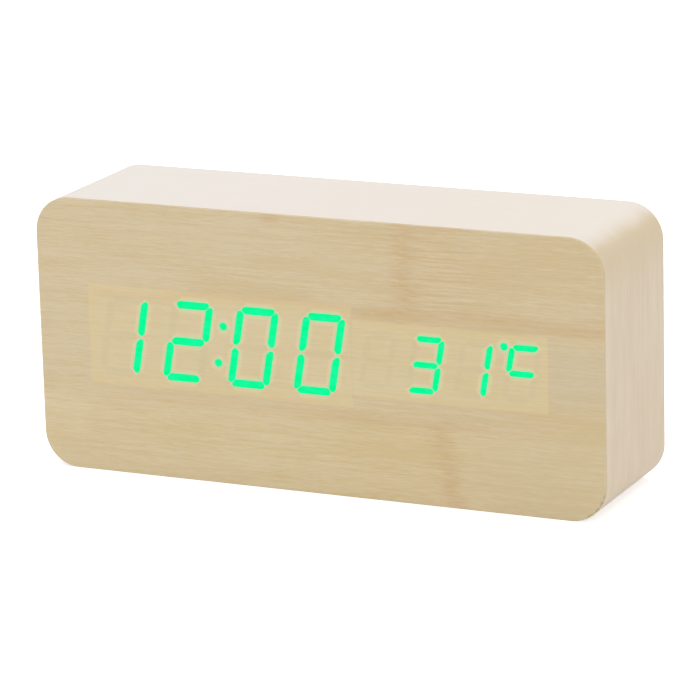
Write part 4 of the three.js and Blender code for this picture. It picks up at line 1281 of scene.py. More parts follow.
@dataclass(frozen=True)
class Screw:
    """A small screw with a threaded shank and a crossed recess in its domed head, in millimetres.

    Attributes:
        length: From under its head to its point.
        head: Radius of its head.
        height: Height of its head.
        dome: How far the head's edge is rounded.
        shank: Radius over its thread.
        groove: Depth of its thread.
        pitch: From one turn of the thread to the next.
        taper: Length of its pointed end.
        tip: Radius of its point.
        recess: Depth of the crossed recess.
        recess_arm: How far an arm of the recess reaches from the middle.
        recess_half: Half the width of an arm.
    """

    length: float
    head: float = 2.4
    height: float = 1.3
    dome: float = 0.6
    shank: float = 1.2
    groove: float = 0.2
    pitch: float = 0.6
    taper: float = 1.0
    tip: float = 0.3
    recess: float = 0.75
    recess_arm: float = 1.35
    recess_half: float = 0.3

    def build(self) -> Piece:
        """Model the screw along Y, with its head standing on the origin.

        Returns:
            The screw.
        """
        core = self.shank - self.groove
        place = self.taper - self.length
        outline = [(-self.length, 0.0), (-self.length, self.tip), (place, core)]
        while place + self.pitch < -self.pitch / 2:
            outline += [(place + self.pitch / 2, self.shank), (place + self.pitch, core)]
            place += self.pitch
        dome = arc((self.height - self.dome, self.head - self.dome), self.dome, 90.0, 15.0)
        outline += [(0.0, core), (0.0, self.head), *dome, (self.height, self.dome), (self.height, 0.0)]
        screw = Piece.lathe("screw", (0.0, 0.0, 0.0), outline, 32)
        return screw.cut(self.build_recess()).ease(0.05, 1, 50.0).smooth()

    def build_recess(self) -> Piece:
        """Model the cross that is cut into the head, with its four arms extruded from a block.

        Returns:
            The cross.
        """
        half, deep = self.recess_half, self.height - self.recess
        arms = {"value": (self.recess_arm - half) * MM}
        return Piece.slab("recess", (0.0, 0.0), (half, half), deep, self.height + 1.0).edit(
            lambda: bpy.ops.mesh.extrude_faces_move(TRANSFORM_OT_shrink_fatten=arms),
            None,
            lambda centre, normal: abs(normal.y) < 0.5,
        )


def dress(finish: Finish, *nodes: str) -> None:
    """Dress solids that keep their shape.

    Args:
        finish: What they are dressed in.
        nodes: Their names.
    """
    for node in nodes:
        mesh = frame["nodes"][node].data
        mesh.materials.clear()
        mesh.materials.append(finish.material())
        LOG.info("%s keeps its solid", node)


@dataclass
class WoodenBlock:
    """The film, the sleeve behind it and the two boards that close it, in millimetres."""

    width: float = 150.0
    height: float = 69.0
    depth: float = 40.0
    corner: float = 9.0
    corner_steps: int = 20
    film: float = 0.6
    seam: float = 0.1
    wall: float = 5.0
    front_rim: float = 0.3
    back_rim: float = 0.4
    board_fit: float = 0.25
    board_corner: float = 3.75
    board_inner: float = 11.5
    board_outer: float = 19.5
    board_rim: float = 0.3
    rebate_half: Pair = (56.35, 22.15)
    rebate_corner: float = 4.3
    rebate_floor: float = 16.4
    opening_half: Pair = (49.05, 18.85)
    opening_corner: float = 2.4
    pilot_radius: float = 1.4
    pilot_start: float = 12.5
    pilot_length: float = 5.0

    def build(self) -> None:
        """Model the block's pieces and dress them."""
        self.build_film()
        self.build_sleeve()
        self.build_back()
        dress(RawFibre(), "front_board")

    @property
    def middle(self) -> Pair:
        """The block's middle along X and Z."""
        return 0.0, self.height / 2

    @property
    def half(self) -> Pair:
        """Half the block's width and height."""
        return self.width / 2, self.height / 2

    def build_film(self) -> None:
        """Model the film as a thin plate with an eased front rim."""
        film = Piece.slab("film", self.middle, self.half, FILM_FACE, -self.depth / 2 + self.film)
        film.round_corners(self.corner, self.corner_steps).round_rim(FILM_FACE, self.front_rim)
        film.smooth().fit(BambooFilm(), "front_film")

    def build_sleeve(self) -> None:
        """Model the sleeve as a rounded tube with an eased back rim."""
        back = self.depth / 2
        sleeve = Piece.slab("sleeve", self.middle, self.half, -back + self.film + self.seam, back)
        sleeve.round_corners(self.corner, self.corner_steps).tunnel(self.wall)
        sleeve.round_rim(back, self.back_rim).smooth().fit(BambooWrap(), "case_sleeve")

    def build_back(self) -> None:
        """Model the back board with the rebate, the opening and the pilot holes for the rear panel."""
        across, up = (half - self.wall - self.board_fit for half in self.half)
        board = Piece.slab("back_plate", self.middle, (across, up), self.board_inner, self.board_outer)
        board.round_corners(self.board_corner, 8)
        rebate = Piece.slab("rebate", self.middle, self.rebate_half, self.rebate_floor, OUTSIDE)
        opening = Piece.slab("opening", self.middle, self.opening_half, 10.0, 18.0)
        pilots = [
            Piece.rod("pilot", self.pilot_radius, (x, self.pilot_start, z), self.pilot_length, sides=24)
            for x, z in RearPanel.screws
        ]
        rebate.round_corners(self.rebate_corner, 10)
        opening.round_corners(self.opening_corner, 6)
        board.cut(rebate, opening, *pilots).ease(self.board_rim).smooth()
        board.fit(BambooBack(), "back_board")


@dataclass
class Display:
    """The lit bars and dots on the film and the modules behind it, in millimetres."""

    proud: float = 0.03
    sunk: float = 0.1
    outer_gap: float = 0.1
    inner_gap: float = 0.4
    level_gap: float = 0.25
    outer_cut: float = 0.45
    inner_cut: float = 0.88
    middle_cut: float = 0.66
    end_radius: float = 0.3
    end_steps: int = 3

    def build(self) -> None:
        """Model the lit bars and dress the modules."""
        self.build_row("lit_time", TIME)
        self.build_row("lit_warmth", WARMTH)
        dress(REFLECTOR_WHITE, "clock_reflector", "temperature_reflector")
        dress(Diffuser(), "clock_light_guide", "temperature_light_guide")

    def build_row(self, name: str, digits: Digits) -> None:
        """Model the lit bars and dots of a row of digits as one piece.

        Args:
            name: The piece's name.
            digits: The row.
        """
        models = {bar: self.build_bar(digits, bar) for bar in Bar}
        made: list[Piece] = []
        for number, glyph in enumerate(digits.shown):
            middle = (number - (len(digits.shown) - 1) / 2) * digits.pitch
            made += [models[bar].copied(f"{name}_bar", (middle, 0.0, 0.0)) for bar in glyph.value]
        whole = made[0].gather(*made[1:])
        Piece.discard(*models.values())
        lean = Matrix.Identity(4)
        lean[0][2] = digits.slant
        centre = Vector((digits.centre_x, 0.0, digits.centre_z))
        whole.obj.data.transform(Matrix.Translation(centre * MM) @ lean)
        front, length = FILM_FACE - self.proud, self.proud + self.sunk
        dots = [Piece.rod("dot", digits.dot_radius, (x, front, z), length, sides=32) for x, z in digits.dots]
        whole.gather(*dots).named(name).fit(Glow())

    def build_bar(self, digits: Digits, bar: Bar) -> Piece:
        """Model one bar of an upright digit, its ends cut slanting so that its outer side is the longer one.

        Args:
            digits: The row that it is for.
            bar: Which of the digit's bars it is.

        Returns:
            The bar, placed about the digit's middle.
        """
        across, up, standing = bar.value
        half = digits.stroke / 2
        middle = Vector((across * digits.width / 2, 0.0, up * digits.height / 2))
        outward = Vector((across, 0.0, 0.0) if standing else (0.0, 0.0, up))
        if standing:
            tips = sorted((2 * up * self.inner_gap, 2 * up * (digits.height / 2 - self.outer_gap)))
            low, high = (middle.x - half, tips[0]), (middle.x + half, tips[1])
        else:
            reach = digits.width / 2 - self.level_gap
            low, high = (-reach, middle.z - half), (reach, middle.z + half)
        front, back = FILM_FACE - self.proud, FILM_FACE + self.sunk
        made = Piece.block("bar", (low[0], front, low[1]), (high[0], back, high[1]))
        if bar is Bar.MIDDLE:
            made.round_corners(half * self.middle_cut, 1)
        else:
            made.round_corners(half * self.outer_cut, 1, lambda place: (place - middle).dot(outward) > 0.0)
            made.round_corners(half * self.inner_cut, 1, lambda place: (place - middle).dot(outward) < 0.0)
        return made.round_corners(self.end_radius, self.end_steps)


@dataclass
class RearPanel:
    """The moulded panel at the back with its door, keys, screws and socket, in millimetres."""

    face: float = 18.5
    thickness: float = 2.0
    middle_z: float = 34.5
    half: Pair = (56.05, 21.85)
    corner: float = 4.0
    edge: float = 0.16
    bay: Pair = (-46.65, 4.05)
    bay_half_height: float = 16.45
    bay_floor: float = 5.5
    bay_wall: float = 2.0
    floor_thickness: float = 1.5
    cradle_half: Pair = (18.85, 17.5)
    cradle_top: float = 8.0
    trough_radius: float = 5.65
    door_half: Pair = (26.25, 17.35)
    door_fit: float = 0.25
    door_corner: float = 1.0
    tab_reach: float = 15.0
    tab_half: float = 2.5
    tab_inner: float = 14.9
    tab_outer: float = 16.1
    tab_slot: float = 14.31
    tail_slot_half: Pair = (0.5, 1.3)
    tail_slot: Pair = (3.0, 6.5)
    slit_reach: float = 4.9
    slit_rise: float = 2.5
    slit_half: Pair = (0.4, 3.5)
    rib_rises: tuple[float, ...] = (1.5, 3.0, 4.5)
    rib_half: Pair = (3.8, 0.35)
    rib_proud: float = 0.4
    nib_rise: float = 0.95
    nib_half: Pair = (4.5, 0.45)
    scoop_radius: float = 3.14
    scoop_rise: float = 2.24
    scoop_half: float = 5.5
    key_radius: float = 3.5
    key_fit: float = 0.25
    key_proud: float = 1.2
    key_row: float = 41.5
    keys: tuple[tuple[str, float], ...] = (("set", 39.55), ("up", 27.55), ("down", 15.55))
    socket: Pair = (40.55, 26.5)
    mouth_radius: float = 2.7
    screws: tuple[Pair, ...] = ((-52.55, 16.15), (-52.55, 52.85), (52.55, 16.15), (52.55, 52.85))
    screw_seat: float = 17.5
    screw_length: float = 4.8
    bore_radius: float = 1.4
    sink_radius: float = 2.6
    sink_depth: float = 1.1
    bosses: tuple[Pair, ...] = ((12.55, 24.5), (27.55, 24.5))
    boss_radius: float = 3.2
    pilot_start: float = 7.0
    pilot_length: float = 4.9
    board_seat: float = 7.7

    def build(self) -> None:
        """Model the panel and what sits in it, and dress them."""
        self.build_panel().fit(PANEL_BLACK, "rear_panel")
        self.build_door().fit(PANEL_BLACK, "battery_door", body="door")
        self.build_keys()
        self.build_screws()
        self.build_socket()

    @property
    def inner(self) -> float:
        """Where the flange ends along Y, inside the block."""
        return self.face - self.thickness

    @property
    def bay_middle(self) -> Pair:
        """The middle of the battery bay along X and Z."""
        return sum(self.bay) / 2, self.middle_z

    @property
    def bay_half(self) -> Pair:
        """Half the battery bay's width and height."""
        return (self.bay[1] - self.bay[0]) / 2, self.bay_half_height

    def build_panel(self) -> Piece:
        """Model the flange, the battery tub under it and all their openings.

        Returns:
            The panel.
        """
        root = self.inner + 1.0
        panel = Piece.slab("back_panel", (0.0, self.middle_z), self.half, self.inner, self.face)
        panel.round_corners(self.corner, 10)
        outside = (self.bay_half[0] + self.bay_wall, self.bay_half[1] + self.bay_wall)
        tub = Piece.slab("tub", self.bay_middle, outside, self.bay_floor - self.floor_thickness, root)
        bosses = [
            Piece.rod("boss", self.boss_radius, (x, self.board_seat, z), root - self.board_seat, sides=24)
            for x, z in self.bosses
        ]
        panel.add(tub.round_corners(self.bay_wall, 5), *bosses)
        frame_half = (self.door_half[0] + self.door_fit, self.door_half[1] + self.door_fit)
        doorway = Piece.slab("doorway", self.bay_middle, frame_half, self.inner, OUTSIDE)
        doorway.round_corners(self.door_corner + self.door_fit, 5)
        hollow = Piece.slab("hollow", self.bay_middle, self.bay_half, self.bay_floor, OUTSIDE)
        panel.cut(doorway, hollow, *self.panel_holes(), *self.bay_slots())
        return panel.add(self.build_cradle()).ease(self.edge).smooth()

    def panel_holes(self) -> list[Piece]:
        """Make the cutters for the keys, the socket, the screws and the finger scoop.

        Returns:
            The cutters.
        """
        start, through = self.inner - 1.0, self.thickness + 2.0
        key_hole = self.key_radius + self.key_fit
        keys = [Piece.rod("hole", key_hole, (x, start, self.key_row), through) for _, x in self.keys]
        mouth = Piece.rod("mouth", self.mouth_radius, (self.socket[0], start, self.socket[1]), through)
        bore = self.bore_radius
        bores = [Piece.rod("bore", bore, (x, start, z), through, sides=32) for x, z in self.screws]
        sink, deep = self.face - self.sink_depth, self.sink_depth + 1.0
        sinks = [Piece.rod("sink", self.sink_radius, (x, sink, z), deep, sides=40) for x, z in self.screws]
        low, long = self.pilot_start, self.pilot_length
        pilots = [Piece.rod("pilot", bore, (x, low, z), long, sides=24) for x, z in self.bosses]
        scoop_end = (
            self.bay_middle[0] - self.scoop_half,
            self.face + self.scoop_rise,
            self.middle_z - self.door_half[1] - self.door_fit,
        )
        scoop = Piece.rod("scoop", self.scoop_radius, scoop_end, 2 * self.scoop_half, Axis.X)
        return [*keys, mouth, *bores, *sinks, *pilots, scoop]

    def bay_slots(self) -> list[Piece]:
        """Make the cutters for the door's tabs and the contacts' tails.

        Returns:
            The cutters.
        """
        centre, top = self.bay_middle[0], self.middle_z + self.bay_half_height
        tab_half = (self.tab_half + self.door_fit, 2.0)
        tab_places = [(centre + side * self.tab_reach, top + 1.0) for side in (-1, 1)]
        tabs = [Piece.slab("tab_slot", place, tab_half, self.tab_slot, self.inner) for place in tab_places]
        tail_half = self.tail_slot_half
        high_row, _, low_row = Battery.rows
        tail_places = ((self.bay[0] + tail_half[0], low_row), (self.bay[1] - tail_half[0], high_row))
        tails = [Piece.slab("tail_slot", place, tail_half, *self.tail_slot) for place in tail_places]
        return [*tabs, *tails]

    def build_cradle(self) -> Piece:
        """Model the rib on the bay's floor with a round trough for each cell.

        Returns:
            The rib.
        """
        rib = Piece.slab("cradle", self.bay_middle, self.cradle_half, self.bay_floor - 0.75, self.cradle_top)
        troughs = [
            Piece.rod("trough", self.trough_radius, (-60.0, Battery.axis_y, z), 80.0, Axis.X, 64)
            for z in Battery.rows
        ]
        return rib.cut(*troughs)

    def build_door(self) -> Piece:
        """Model the leaf with its grip ribs, latch tongue, tabs and nib.

        Returns:
            The door.
        """
        centre, z = self.bay_middle
        inner, root = self.inner + 0.1, self.inner + 1.0
        foot, top = z - self.door_half[1], z + self.door_half[1]
        door = Piece.slab("door_leaf", self.bay_middle, self.door_half, inner, self.face)
        door.round_corners(self.door_corner, 5)
        slit_places = [(centre + side * self.slit_reach, foot + self.slit_rise) for side in (-1, 1)]
        slits = [Piece.slab("slit", place, self.slit_half, 14.0, OUTSIDE) for place in slit_places]
        proud = self.face + self.rib_proud
        ribs = [
            Piece.slab("rib", (centre, foot + rise), self.rib_half, root, proud) for rise in self.rib_rises
        ]
        head, tab_inner = top - 0.25, self.tab_inner
        tabs: list[Piece] = []
        for side in (-1, 1):
            low, high = (centre + side * self.tab_reach + edge * self.tab_half for edge in (-1, 1))
            tabs.append(Piece.block("tab_root", (low, tab_inner, head - 1.6), (high, root, head)))
            tabs.append(Piece.block("tab", (low, tab_inner, head - 0.8), (high, self.tab_outer, top + 1.0)))
        nib_place = (centre, z - self.bay_half_height + self.nib_rise)
        nib = Piece.slab("nib", nib_place, self.nib_half, inner - 1.4, root)
        return door.add(*tabs, nib, *ribs).cut(*slits).ease(self.edge).smooth()

    def build_keys(self) -> None:
        """Model one key with a dished top, and copy it for each of the three."""
        top, radius = self.face + self.key_proud, self.key_radius
        stem = [(14.8, 0.0), (14.8, 2.0), (15.4, 2.0), (15.4, 4.5), (16.4, 4.5), (16.4, radius)]
        dish = arc((top + 12.2, 0.0), 12.5, 167.2, 180.0, 6)
        outline = [*stem, *rim(top, radius, 0.5), *dish]
        model = Piece.lathe("key", (0.0, 0.0, self.key_row), outline).smooth(40.0)
        for name, x in self.keys:
            key = model.copied(f"{name}_cap", (x, 0.0, 0.0))
            key.fit(KEY_RUBBER, f"{name}_key", body=f"{name}_button")
        Piece.discard(model)

    def build_screws(self) -> None:
        """Copy one screw to each corner of the panel."""
        model = Screw(self.screw_length).build()
        for number, (x, z) in enumerate(self.screws, 1):
            screw = model.copied(f"corner_screw_{number}", (x, self.screw_seat, z))
            screw.fit(STEEL, f"panel_screw_{number}")
        Piece.discard(model)

    def build_socket(self) -> None:
        """Model the supply socket with its bore, and the pin that stands in it."""
        x, z = self.socket
        mouth = self.inner - 0.1
        outer = [(8.7, 0.0), (8.7, 3.5), (mouth - 0.3, 3.5), (mouth, 3.2)]
        bore = [(mouth, 2.25), (mouth - 0.3, 1.95), (9.7, 1.95), (9.7, 0.0)]
        barrel = Piece.lathe("power_socket", (x, 0.0, z), [*outer, *bore])
        base = Piece.slab("base", self.socket, (4.2, 4.2), self.board_seat, 9.7)
        barrel.add(base.ease(0.3)).smooth().fit(SOCKET_BLACK, "supply_socket")
        tip = mouth - 1.0
        outline = [(9.6, 0.0), (9.6, 0.65), *rim(tip, 0.65, 0.4), (tip, 0.0)]
        Piece.lathe("socket_pin", (x, 0.0, z), outline, 24).smooth().fit(NICKEL)


@dataclass
class Battery:
    """The cells in the bay, their contacts and the wires to the display, in millimetres."""

    rows: tuple[float, float, float] = (45.4, 34.5, 23.6)
    axis_y: float = 11.05
    radius: float = 5.25
    rim: float = 0.6
    shoulder: float = 43.5
    nub_radius: float = 1.9
    nub: float = 1.0
    spring_room: float = 5.5
    wall_gap: float = 0.1
    plate: float = 0.5
    plate_half: float = 3.8
    tail_end: float = 2.5
    tail_half: float = 1.0
    spring_base: float = 3.5
    spring_tip: float = 2.2
    spring_wire: float = 0.3
    spring_turns: float = 3.5
    spring_length: float = 4.5
    lead_start: float = 2.4
    lead_end: float = -10.5
    lead_sway: float = 3.0
    lead_radius: float = 0.65

    def build(self) -> None:
        """Model the cells, the contacts and the wires, and dress them."""
        for number, z in enumerate(self.rows, 1):
            side = 1 if number % 2 else -1
            self.build_cell(f"battery_{number}", side, z).fit(self.jacket(side), f"cell_{number}")
        top, middle, low = self.rows
        self.build_contact("bridge_left", -1, top, middle, top).fit(NICKEL, "bridge_contact_left")
        self.build_contact("minus_plate", -1, low, low, low, low).fit(NICKEL, "negative_terminal")
        self.build_contact("plus_plate", 1, top, top, None, top).fit(NICKEL, "positive_terminal")
        self.build_contact("bridge_right", 1, middle, low, middle).fit(NICKEL, "bridge_contact_right")
        self.build_lead("plus_wire", 1, top).fit(RED_SLEEVE, "positive_lead")
        self.build_lead("minus_wire", -1, low).fit(BLACK_SLEEVE, "negative_lead")

    @staticmethod
    def end_wall(side: int) -> float:
        """Give the place along X of the bay's right (1) or left (-1) end wall."""
        return RearPanel.bay[1 if side > 0 else 0]

    def flat_end(self, side: int) -> float:
        """Give the place along X of the flat end of a cell whose raised end points to that side."""
        return self.end_wall(-side) + side * self.spring_room

    def jacket(self, side: int) -> CellJacket:
        """Give the jacket of a cell whose raised end points to that side."""
        raised_end = self.flat_end(side) + side * self.shoulder
        return CellJacket("cell_jacket", raised_end, -float(side), self.shoulder)

    def build_cell(self, name: str, side: int, z: float) -> Piece:
        """Model a cell as a spun can, with a rolled rim at each end and a raised contact.

        Args:
            name: The piece's name.
            side: Where its raised end points, 1 for right or -1 for left.
            z: Its row's height.

        Returns:
            The cell.
        """
        end, wide = self.shoulder, self.radius - self.rim
        tip = end + self.nub
        crimp = arc((self.rim, wide), self.rim, 180.0, 90.0)
        flat = [(0.12, 0.0), (0.12, wide - 0.6), (0.0, wide - 0.4), *crimp]
        step = [(end, wide - 0.4), (end - 0.3, wide - 0.6), (end - 0.3, 2.4)]
        nub = [(end, self.nub_radius), *rim(tip, self.nub_radius, 0.3), (tip, 0.0)]
        outline = [*flat, *rim(end, self.radius, self.rim), *step, *nub]
        start = self.flat_end(side)
        placed = [(start + side * place, radius) for place, radius in outline]
        return Piece.lathe(name, (0.0, self.axis_y, z), placed, axis=Axis.X).smooth(35.0)

    def build_contact(
        self, name: str, side: int, first: float, last: float, spring: float | None, tail: float | None = None
    ) -> Piece:
        """Model a contact plate on an end wall of the bay.

        Args:
            name: The piece's name.
            side: 1 on the right wall, -1 on the left.
            first: The upper row that it reaches.
            last: The lower row that it reaches.
            spring: The row that has a coil spring, if any.
            tail: The row with a tail through the floor, if any.

        Returns:
            The contact.
        """
        wall = self.end_wall(side) - side * self.wall_gap
        face = wall - side * self.plate
        low_x, high_x = min(wall, face), max(wall, face)
        half, y = self.plate_half, self.axis_y
        plate = Piece.block(name, (low_x, y - half, last - half), (high_x, y + half, first + half))
        if tail is not None:
            low, high = tail - self.tail_half, tail + self.tail_half
            plate.add(Piece.block("tail", (low_x, self.tail_end, low), (high_x, y, high)))
        plate.ease(0.12)
        if spring is not None:
            plate.gather(self.build_spring(face, side, spring))
        return plate.smooth(40.0)

    def build_spring(self, face: float, side: int, z: float) -> Piece:
        """Model a coil that tapers away from its plate.

        Args:
            face: The plate's face along X.
            side: 1 on the right wall, -1 on the left.
            z: Its row's height.

        Returns:
            The coil.
        """
        points: list[Point] = []
        steps = round(self.spring_turns * 32)
        for step in range(steps + 1):
            share = step / steps
            radius = self.spring_base + (self.spring_tip - self.spring_base) * share
            turn = 2 * math.pi * self.spring_turns * share
            along = face - side * self.spring_length * share
            points.append((along, self.axis_y + radius * math.cos(turn), z - side * radius * math.sin(turn)))
        return Piece.tube("spring", self.spring_wire, points)

    def build_lead(self, name: str, side: int, z: float) -> Piece:
        """Model a wire from a contact's tail to the display board.

        Args:
            name: The piece's name.
            side: 1 at the right wall, -1 at the left.
            z: The row of the contact's tail.

        Returns:
            The wire.
        """
        x = self.end_wall(side) - side * (self.wall_gap + self.plate / 2)
        points = bend((x, self.lead_start, z), self.lead_end, (0.0, side * self.lead_sway))
        return Piece.tube(name, self.lead_radius, points).smooth(50.0)


@dataclass
class Electronics:
    """The circuit boards with what is soldered and screwed to them, in millimetres."""

    seat: float = -10.5
    chip_place: Pair = (-12.75, 35.2)
    chip_half: Pair = (9.0, 3.75)
    chip_top: float = -8.2
    leg_count: int = 14
    leg_pitch: float = 1.27
    leg_half: float = 0.225
    leg_top: float = -9.4
    leg_metal: float = 0.25
    crystal_place: Pair = (-12.75, 25.45)
    crystal_half: Pair = (5.5, 2.3)
    crystal_top: float = -7.1
    crystal_step: float = 0.3
    coin_place: Pair = (-48.46, 35.2)
    coin_bed: float = -9.6
    coin_top: float = -6.3
    cup_top: float = -6.4
    cup_radius: float = 11.7
    can_place: Pair = (29.36, 26.2)
    can_top: float = -5.2
    can_foot: float = 3.25
    buzzer_place: Pair = (47.66, 38.2)
    buzzer_top: float = -5.1
    microphone_place: Pair = (47.66, 26.2)
    microphone_top: float = -6.1
    bead_place: Pair = (58.06, 35.2)
    bead_middle: float = -5.8
    bead_half: Pair = (1.8, 1.3)
    switch_seat: float = 7.7
    switch_top: float = 10.75
    switch_half: Pair = (3.0, 3.0)
    switch_well: float = 1.95
    cover_top: float = 11.05
    cover_half: Pair = (2.9, 2.9)
    rivet_reach: float = 2.2
    spacers: tuple[Pair, ...] = ((-57.16, 18.6), (-57.16, 51.8), (57.66, 18.6), (57.66, 51.8))
    spacer_ends: Pair = (-15.2, -12.3)
    board_screw: float = 7.6
    key_screw: float = 5.7
    key_screw_seat: float = 5.9
    ribbon_start: Point = (24.55, 5.9, 38.9)
    ribbon_sway: float = 6.0
    strands: int = 10
    strand: float = 0.4

    def build(self) -> None:
        """Model what stands on the boards, and dress it."""
        self.build_chip()
        self.build_crystal()
        self.build_coin()
        self.build_capacitor()
        self.build_buzzer()
        self.build_microphone()
        self.build_bead()
        self.build_switches()
        self.build_fixings()
        self.build_ribbon()
        dress(SolderMask(), "display_board", "key_board")

    def build_chip(self) -> None:
        """Model the chip's body with its end notch and its dimple, and then its legs."""
        (x, z), (across, up) = self.chip_place, self.chip_half
        top = self.chip_top
        body = Piece.slab("main_chip", self.chip_place, self.chip_half, self.seat + 0.15, top)
        notch = Piece.rod("notch", 0.9, (x - across, top - 0.25, z), 1.0, sides=32)
        dimple = Piece.rod("dimple", 0.5, (x - across + 1.6, top - 0.15, z - up + 1.6), 1.0, sides=32)
        body.cut(notch, dimple).ease(0.1).smooth().fit(MOULDED_BLACK, "controller_chip")
        self.build_legs()

    def build_legs(self) -> None:
        """Model one leg of the chip, turn a copy to face it, and copy both along the chip."""
        (x, z), up = self.chip_place, self.chip_half[1]
        half, top, metal = self.leg_half, self.leg_top, self.leg_metal
        leg = Piece.block("leg", (-half, top - metal, up - 0.1), (half, top, up + 0.6))
        riser = Piece.block("riser", (-half, self.seat, up + 0.4), (half, top, up + 0.4 + metal))
        foot = Piece.block("foot", (-half, self.seat, up + 0.4), (half, self.seat + metal, up + 1.4))
        leg.add(riser, foot).ease(0.06).smooth()
        facing = leg.copied("facing", (0.0, 0.0, 0.0))
        facing.obj.data.transform(Matrix.Rotation(math.pi, 4, "Y"))
        legs: list[Piece] = []
        for number in range(self.leg_count):
            place = x + (number - (self.leg_count - 1) / 2) * self.leg_pitch
            legs += [model.copied("chip_legs", (place, 0.0, z)) for model in (leg, facing)]
        Piece.discard(leg, facing)
        legs[0].gather(*legs[1:]).fit(TIN)

    def build_crystal(self) -> None:
        """Model the crystal's can with round ends on a thin flange."""
        (across, up), step = self.crystal_half, self.crystal_step
        low, top = self.seat, self.crystal_top
        flange = Piece.slab("clock_crystal", self.crystal_place, self.crystal_half, low, low + 0.4)
        flange.round_corners(up - 0.01, 12)
        can = Piece.slab("can", self.crystal_place, (across - step, up - step), low + 0.2, top)
        can.round_corners(up - step - 0.01, 12).round_rim(top, 0.5)
        flange.add(can).ease(0.08).smooth().fit(TIN, "crystal")

    def build_coin(self) -> None:
        """Model the coin cell with its crimped rim, and the cup that holds it."""
        x, z = self.coin_place
        bed, edge, radius = self.coin_bed, self.cup_top, self.cup_radius
        outside = [(self.seat, 0.0), (self.seat, radius), *rim(edge, radius, 0.3, 3)]
        inside = [(edge, 10.4), (edge - 0.2, 10.2), (bed, 10.2), (bed, 0.0)]
        holder = Piece.lathe("coin_cup", (x, 0.0, z), [*outside, *inside])
        notch = Piece.slab("notch", (x - 8.75, z), (4.25, 4.5), bed, -6.0)
        holder.cut(notch).ease(0.1).smooth().fit(MOULDED_BLACK, "backup_cell_holder")
        low, top = bed + 0.1, self.coin_top
        cap = [(low, 0.0), (low, 8.4), (low + 0.2, 8.7), (low + 0.9, 8.9), (low + 0.95, 9.2)]
        crimp = arc((low + 1.25, 9.7), 0.3, 180.0, 90.0, 4)
        can = [*rim(top, 10.0, 0.3, 4), (top, 9.2), (top - 0.06, 9.0), (top - 0.06, 0.0)]
        coin = Piece.lathe("coin_cell", (x, 0.0, z), [*cap, *crimp, *can], 96)
        coin.smooth().fit(NICKEL, "backup_cell")

    def build_capacitor(self) -> None:
        """Model the capacitor's can with its waist, on a foot with two cut corners."""
        x, z = self.can_place
        low, top = self.seat + 0.7, self.can_top
        foot = Piece.slab("can_foot", self.can_place, (self.can_foot, self.can_foot), self.seat, low)
        foot.round_corners(1.1, 1, lambda place: place.x > x).ease(0.1).smooth().fit(MOULDED_BLACK)
        neck = [(low, 0.0), (low, 2.9), (low + 0.5, 2.9), (low + 0.7, 2.75), (low + 0.9, 2.75)]
        outline = [*neck, (low + 1.2, 3.15), *rim(top, 3.15, 0.5), (top, 0.0)]
        can = Piece.lathe("smoothing_can", (x, 0.0, z), outline)
        can.smooth(40.0).fit(TIN, "filter_capacitor")

    def build_buzzer(self) -> None:
        """Model the buzzer with its sound hole."""
        x, z = self.buzzer_place
        low, top = self.seat, self.buzzer_top
        wall = [(low, 0.0), (low, 6.0), (low + 0.8, 6.0), (low + 0.95, 5.8), *rim(top, 5.8, 0.6)]
        mouth = [(top, 1.3), (top - 0.2, 1.0), (top - 1.5, 1.0), (top - 1.5, 0.0)]
        buzzer = Piece.lathe("sound_disc", (x, 0.0, z), [*wall, *mouth])
        buzzer.smooth(40.0).fit(MOULDED_BLACK, "buzzer")

    def build_microphone(self) -> None:
        """Model the microphone's can, and the felt in its mouth."""
        x, z = self.microphone_place
        low, top = self.seat, self.microphone_top
        can = [(low, 0.0), (low, 3.0), *rim(top, 3.0, 0.3)]
        mouth = [(top, 2.1), (top - 0.1, 2.0), (top - 0.4, 2.0), (top - 0.4, 0.0)]
        Piece.lathe("mic_can", (x, 0.0, z), [*can, *mouth]).smooth(40.0).fit(TIN, "microphone")
        bed = top - 0.39
        felt = [(bed, 0.0), (bed, 1.95), (top - 0.25, 1.9), (top - 0.16, 1.2), (top - 0.14, 0.0)]
        Piece.lathe("mic_felt", (x, 0.0, z), felt).smooth(40.0).fit(MOULDED_BLACK)

    def build_bead(self) -> None:
        """Model the temperature sensor's bead on its two legs."""
        (x, z), middle = self.bead_place, self.bead_middle
        tall, wide = self.bead_half
        half_turn = [math.pi * step / 16 for step in range(17)]
        outline = [(middle - tall * math.cos(turn), wide * math.sin(turn)) for turn in half_turn]
        bead = Piece.lathe("heat_bead", (x, 0.0, z), outline, 32)
        bead.smooth(60.0).fit(MOULDED_BLACK, "temperature_sensor")
        left, right = (
            Piece.tube("bead_legs", 0.3, [(x + side * 0.65, y, z) for y in (self.seat, -8.0, -6.0)])
            for side in (-1, 1)
        )
        left.gather(right).smooth(50.0).fit(TIN)

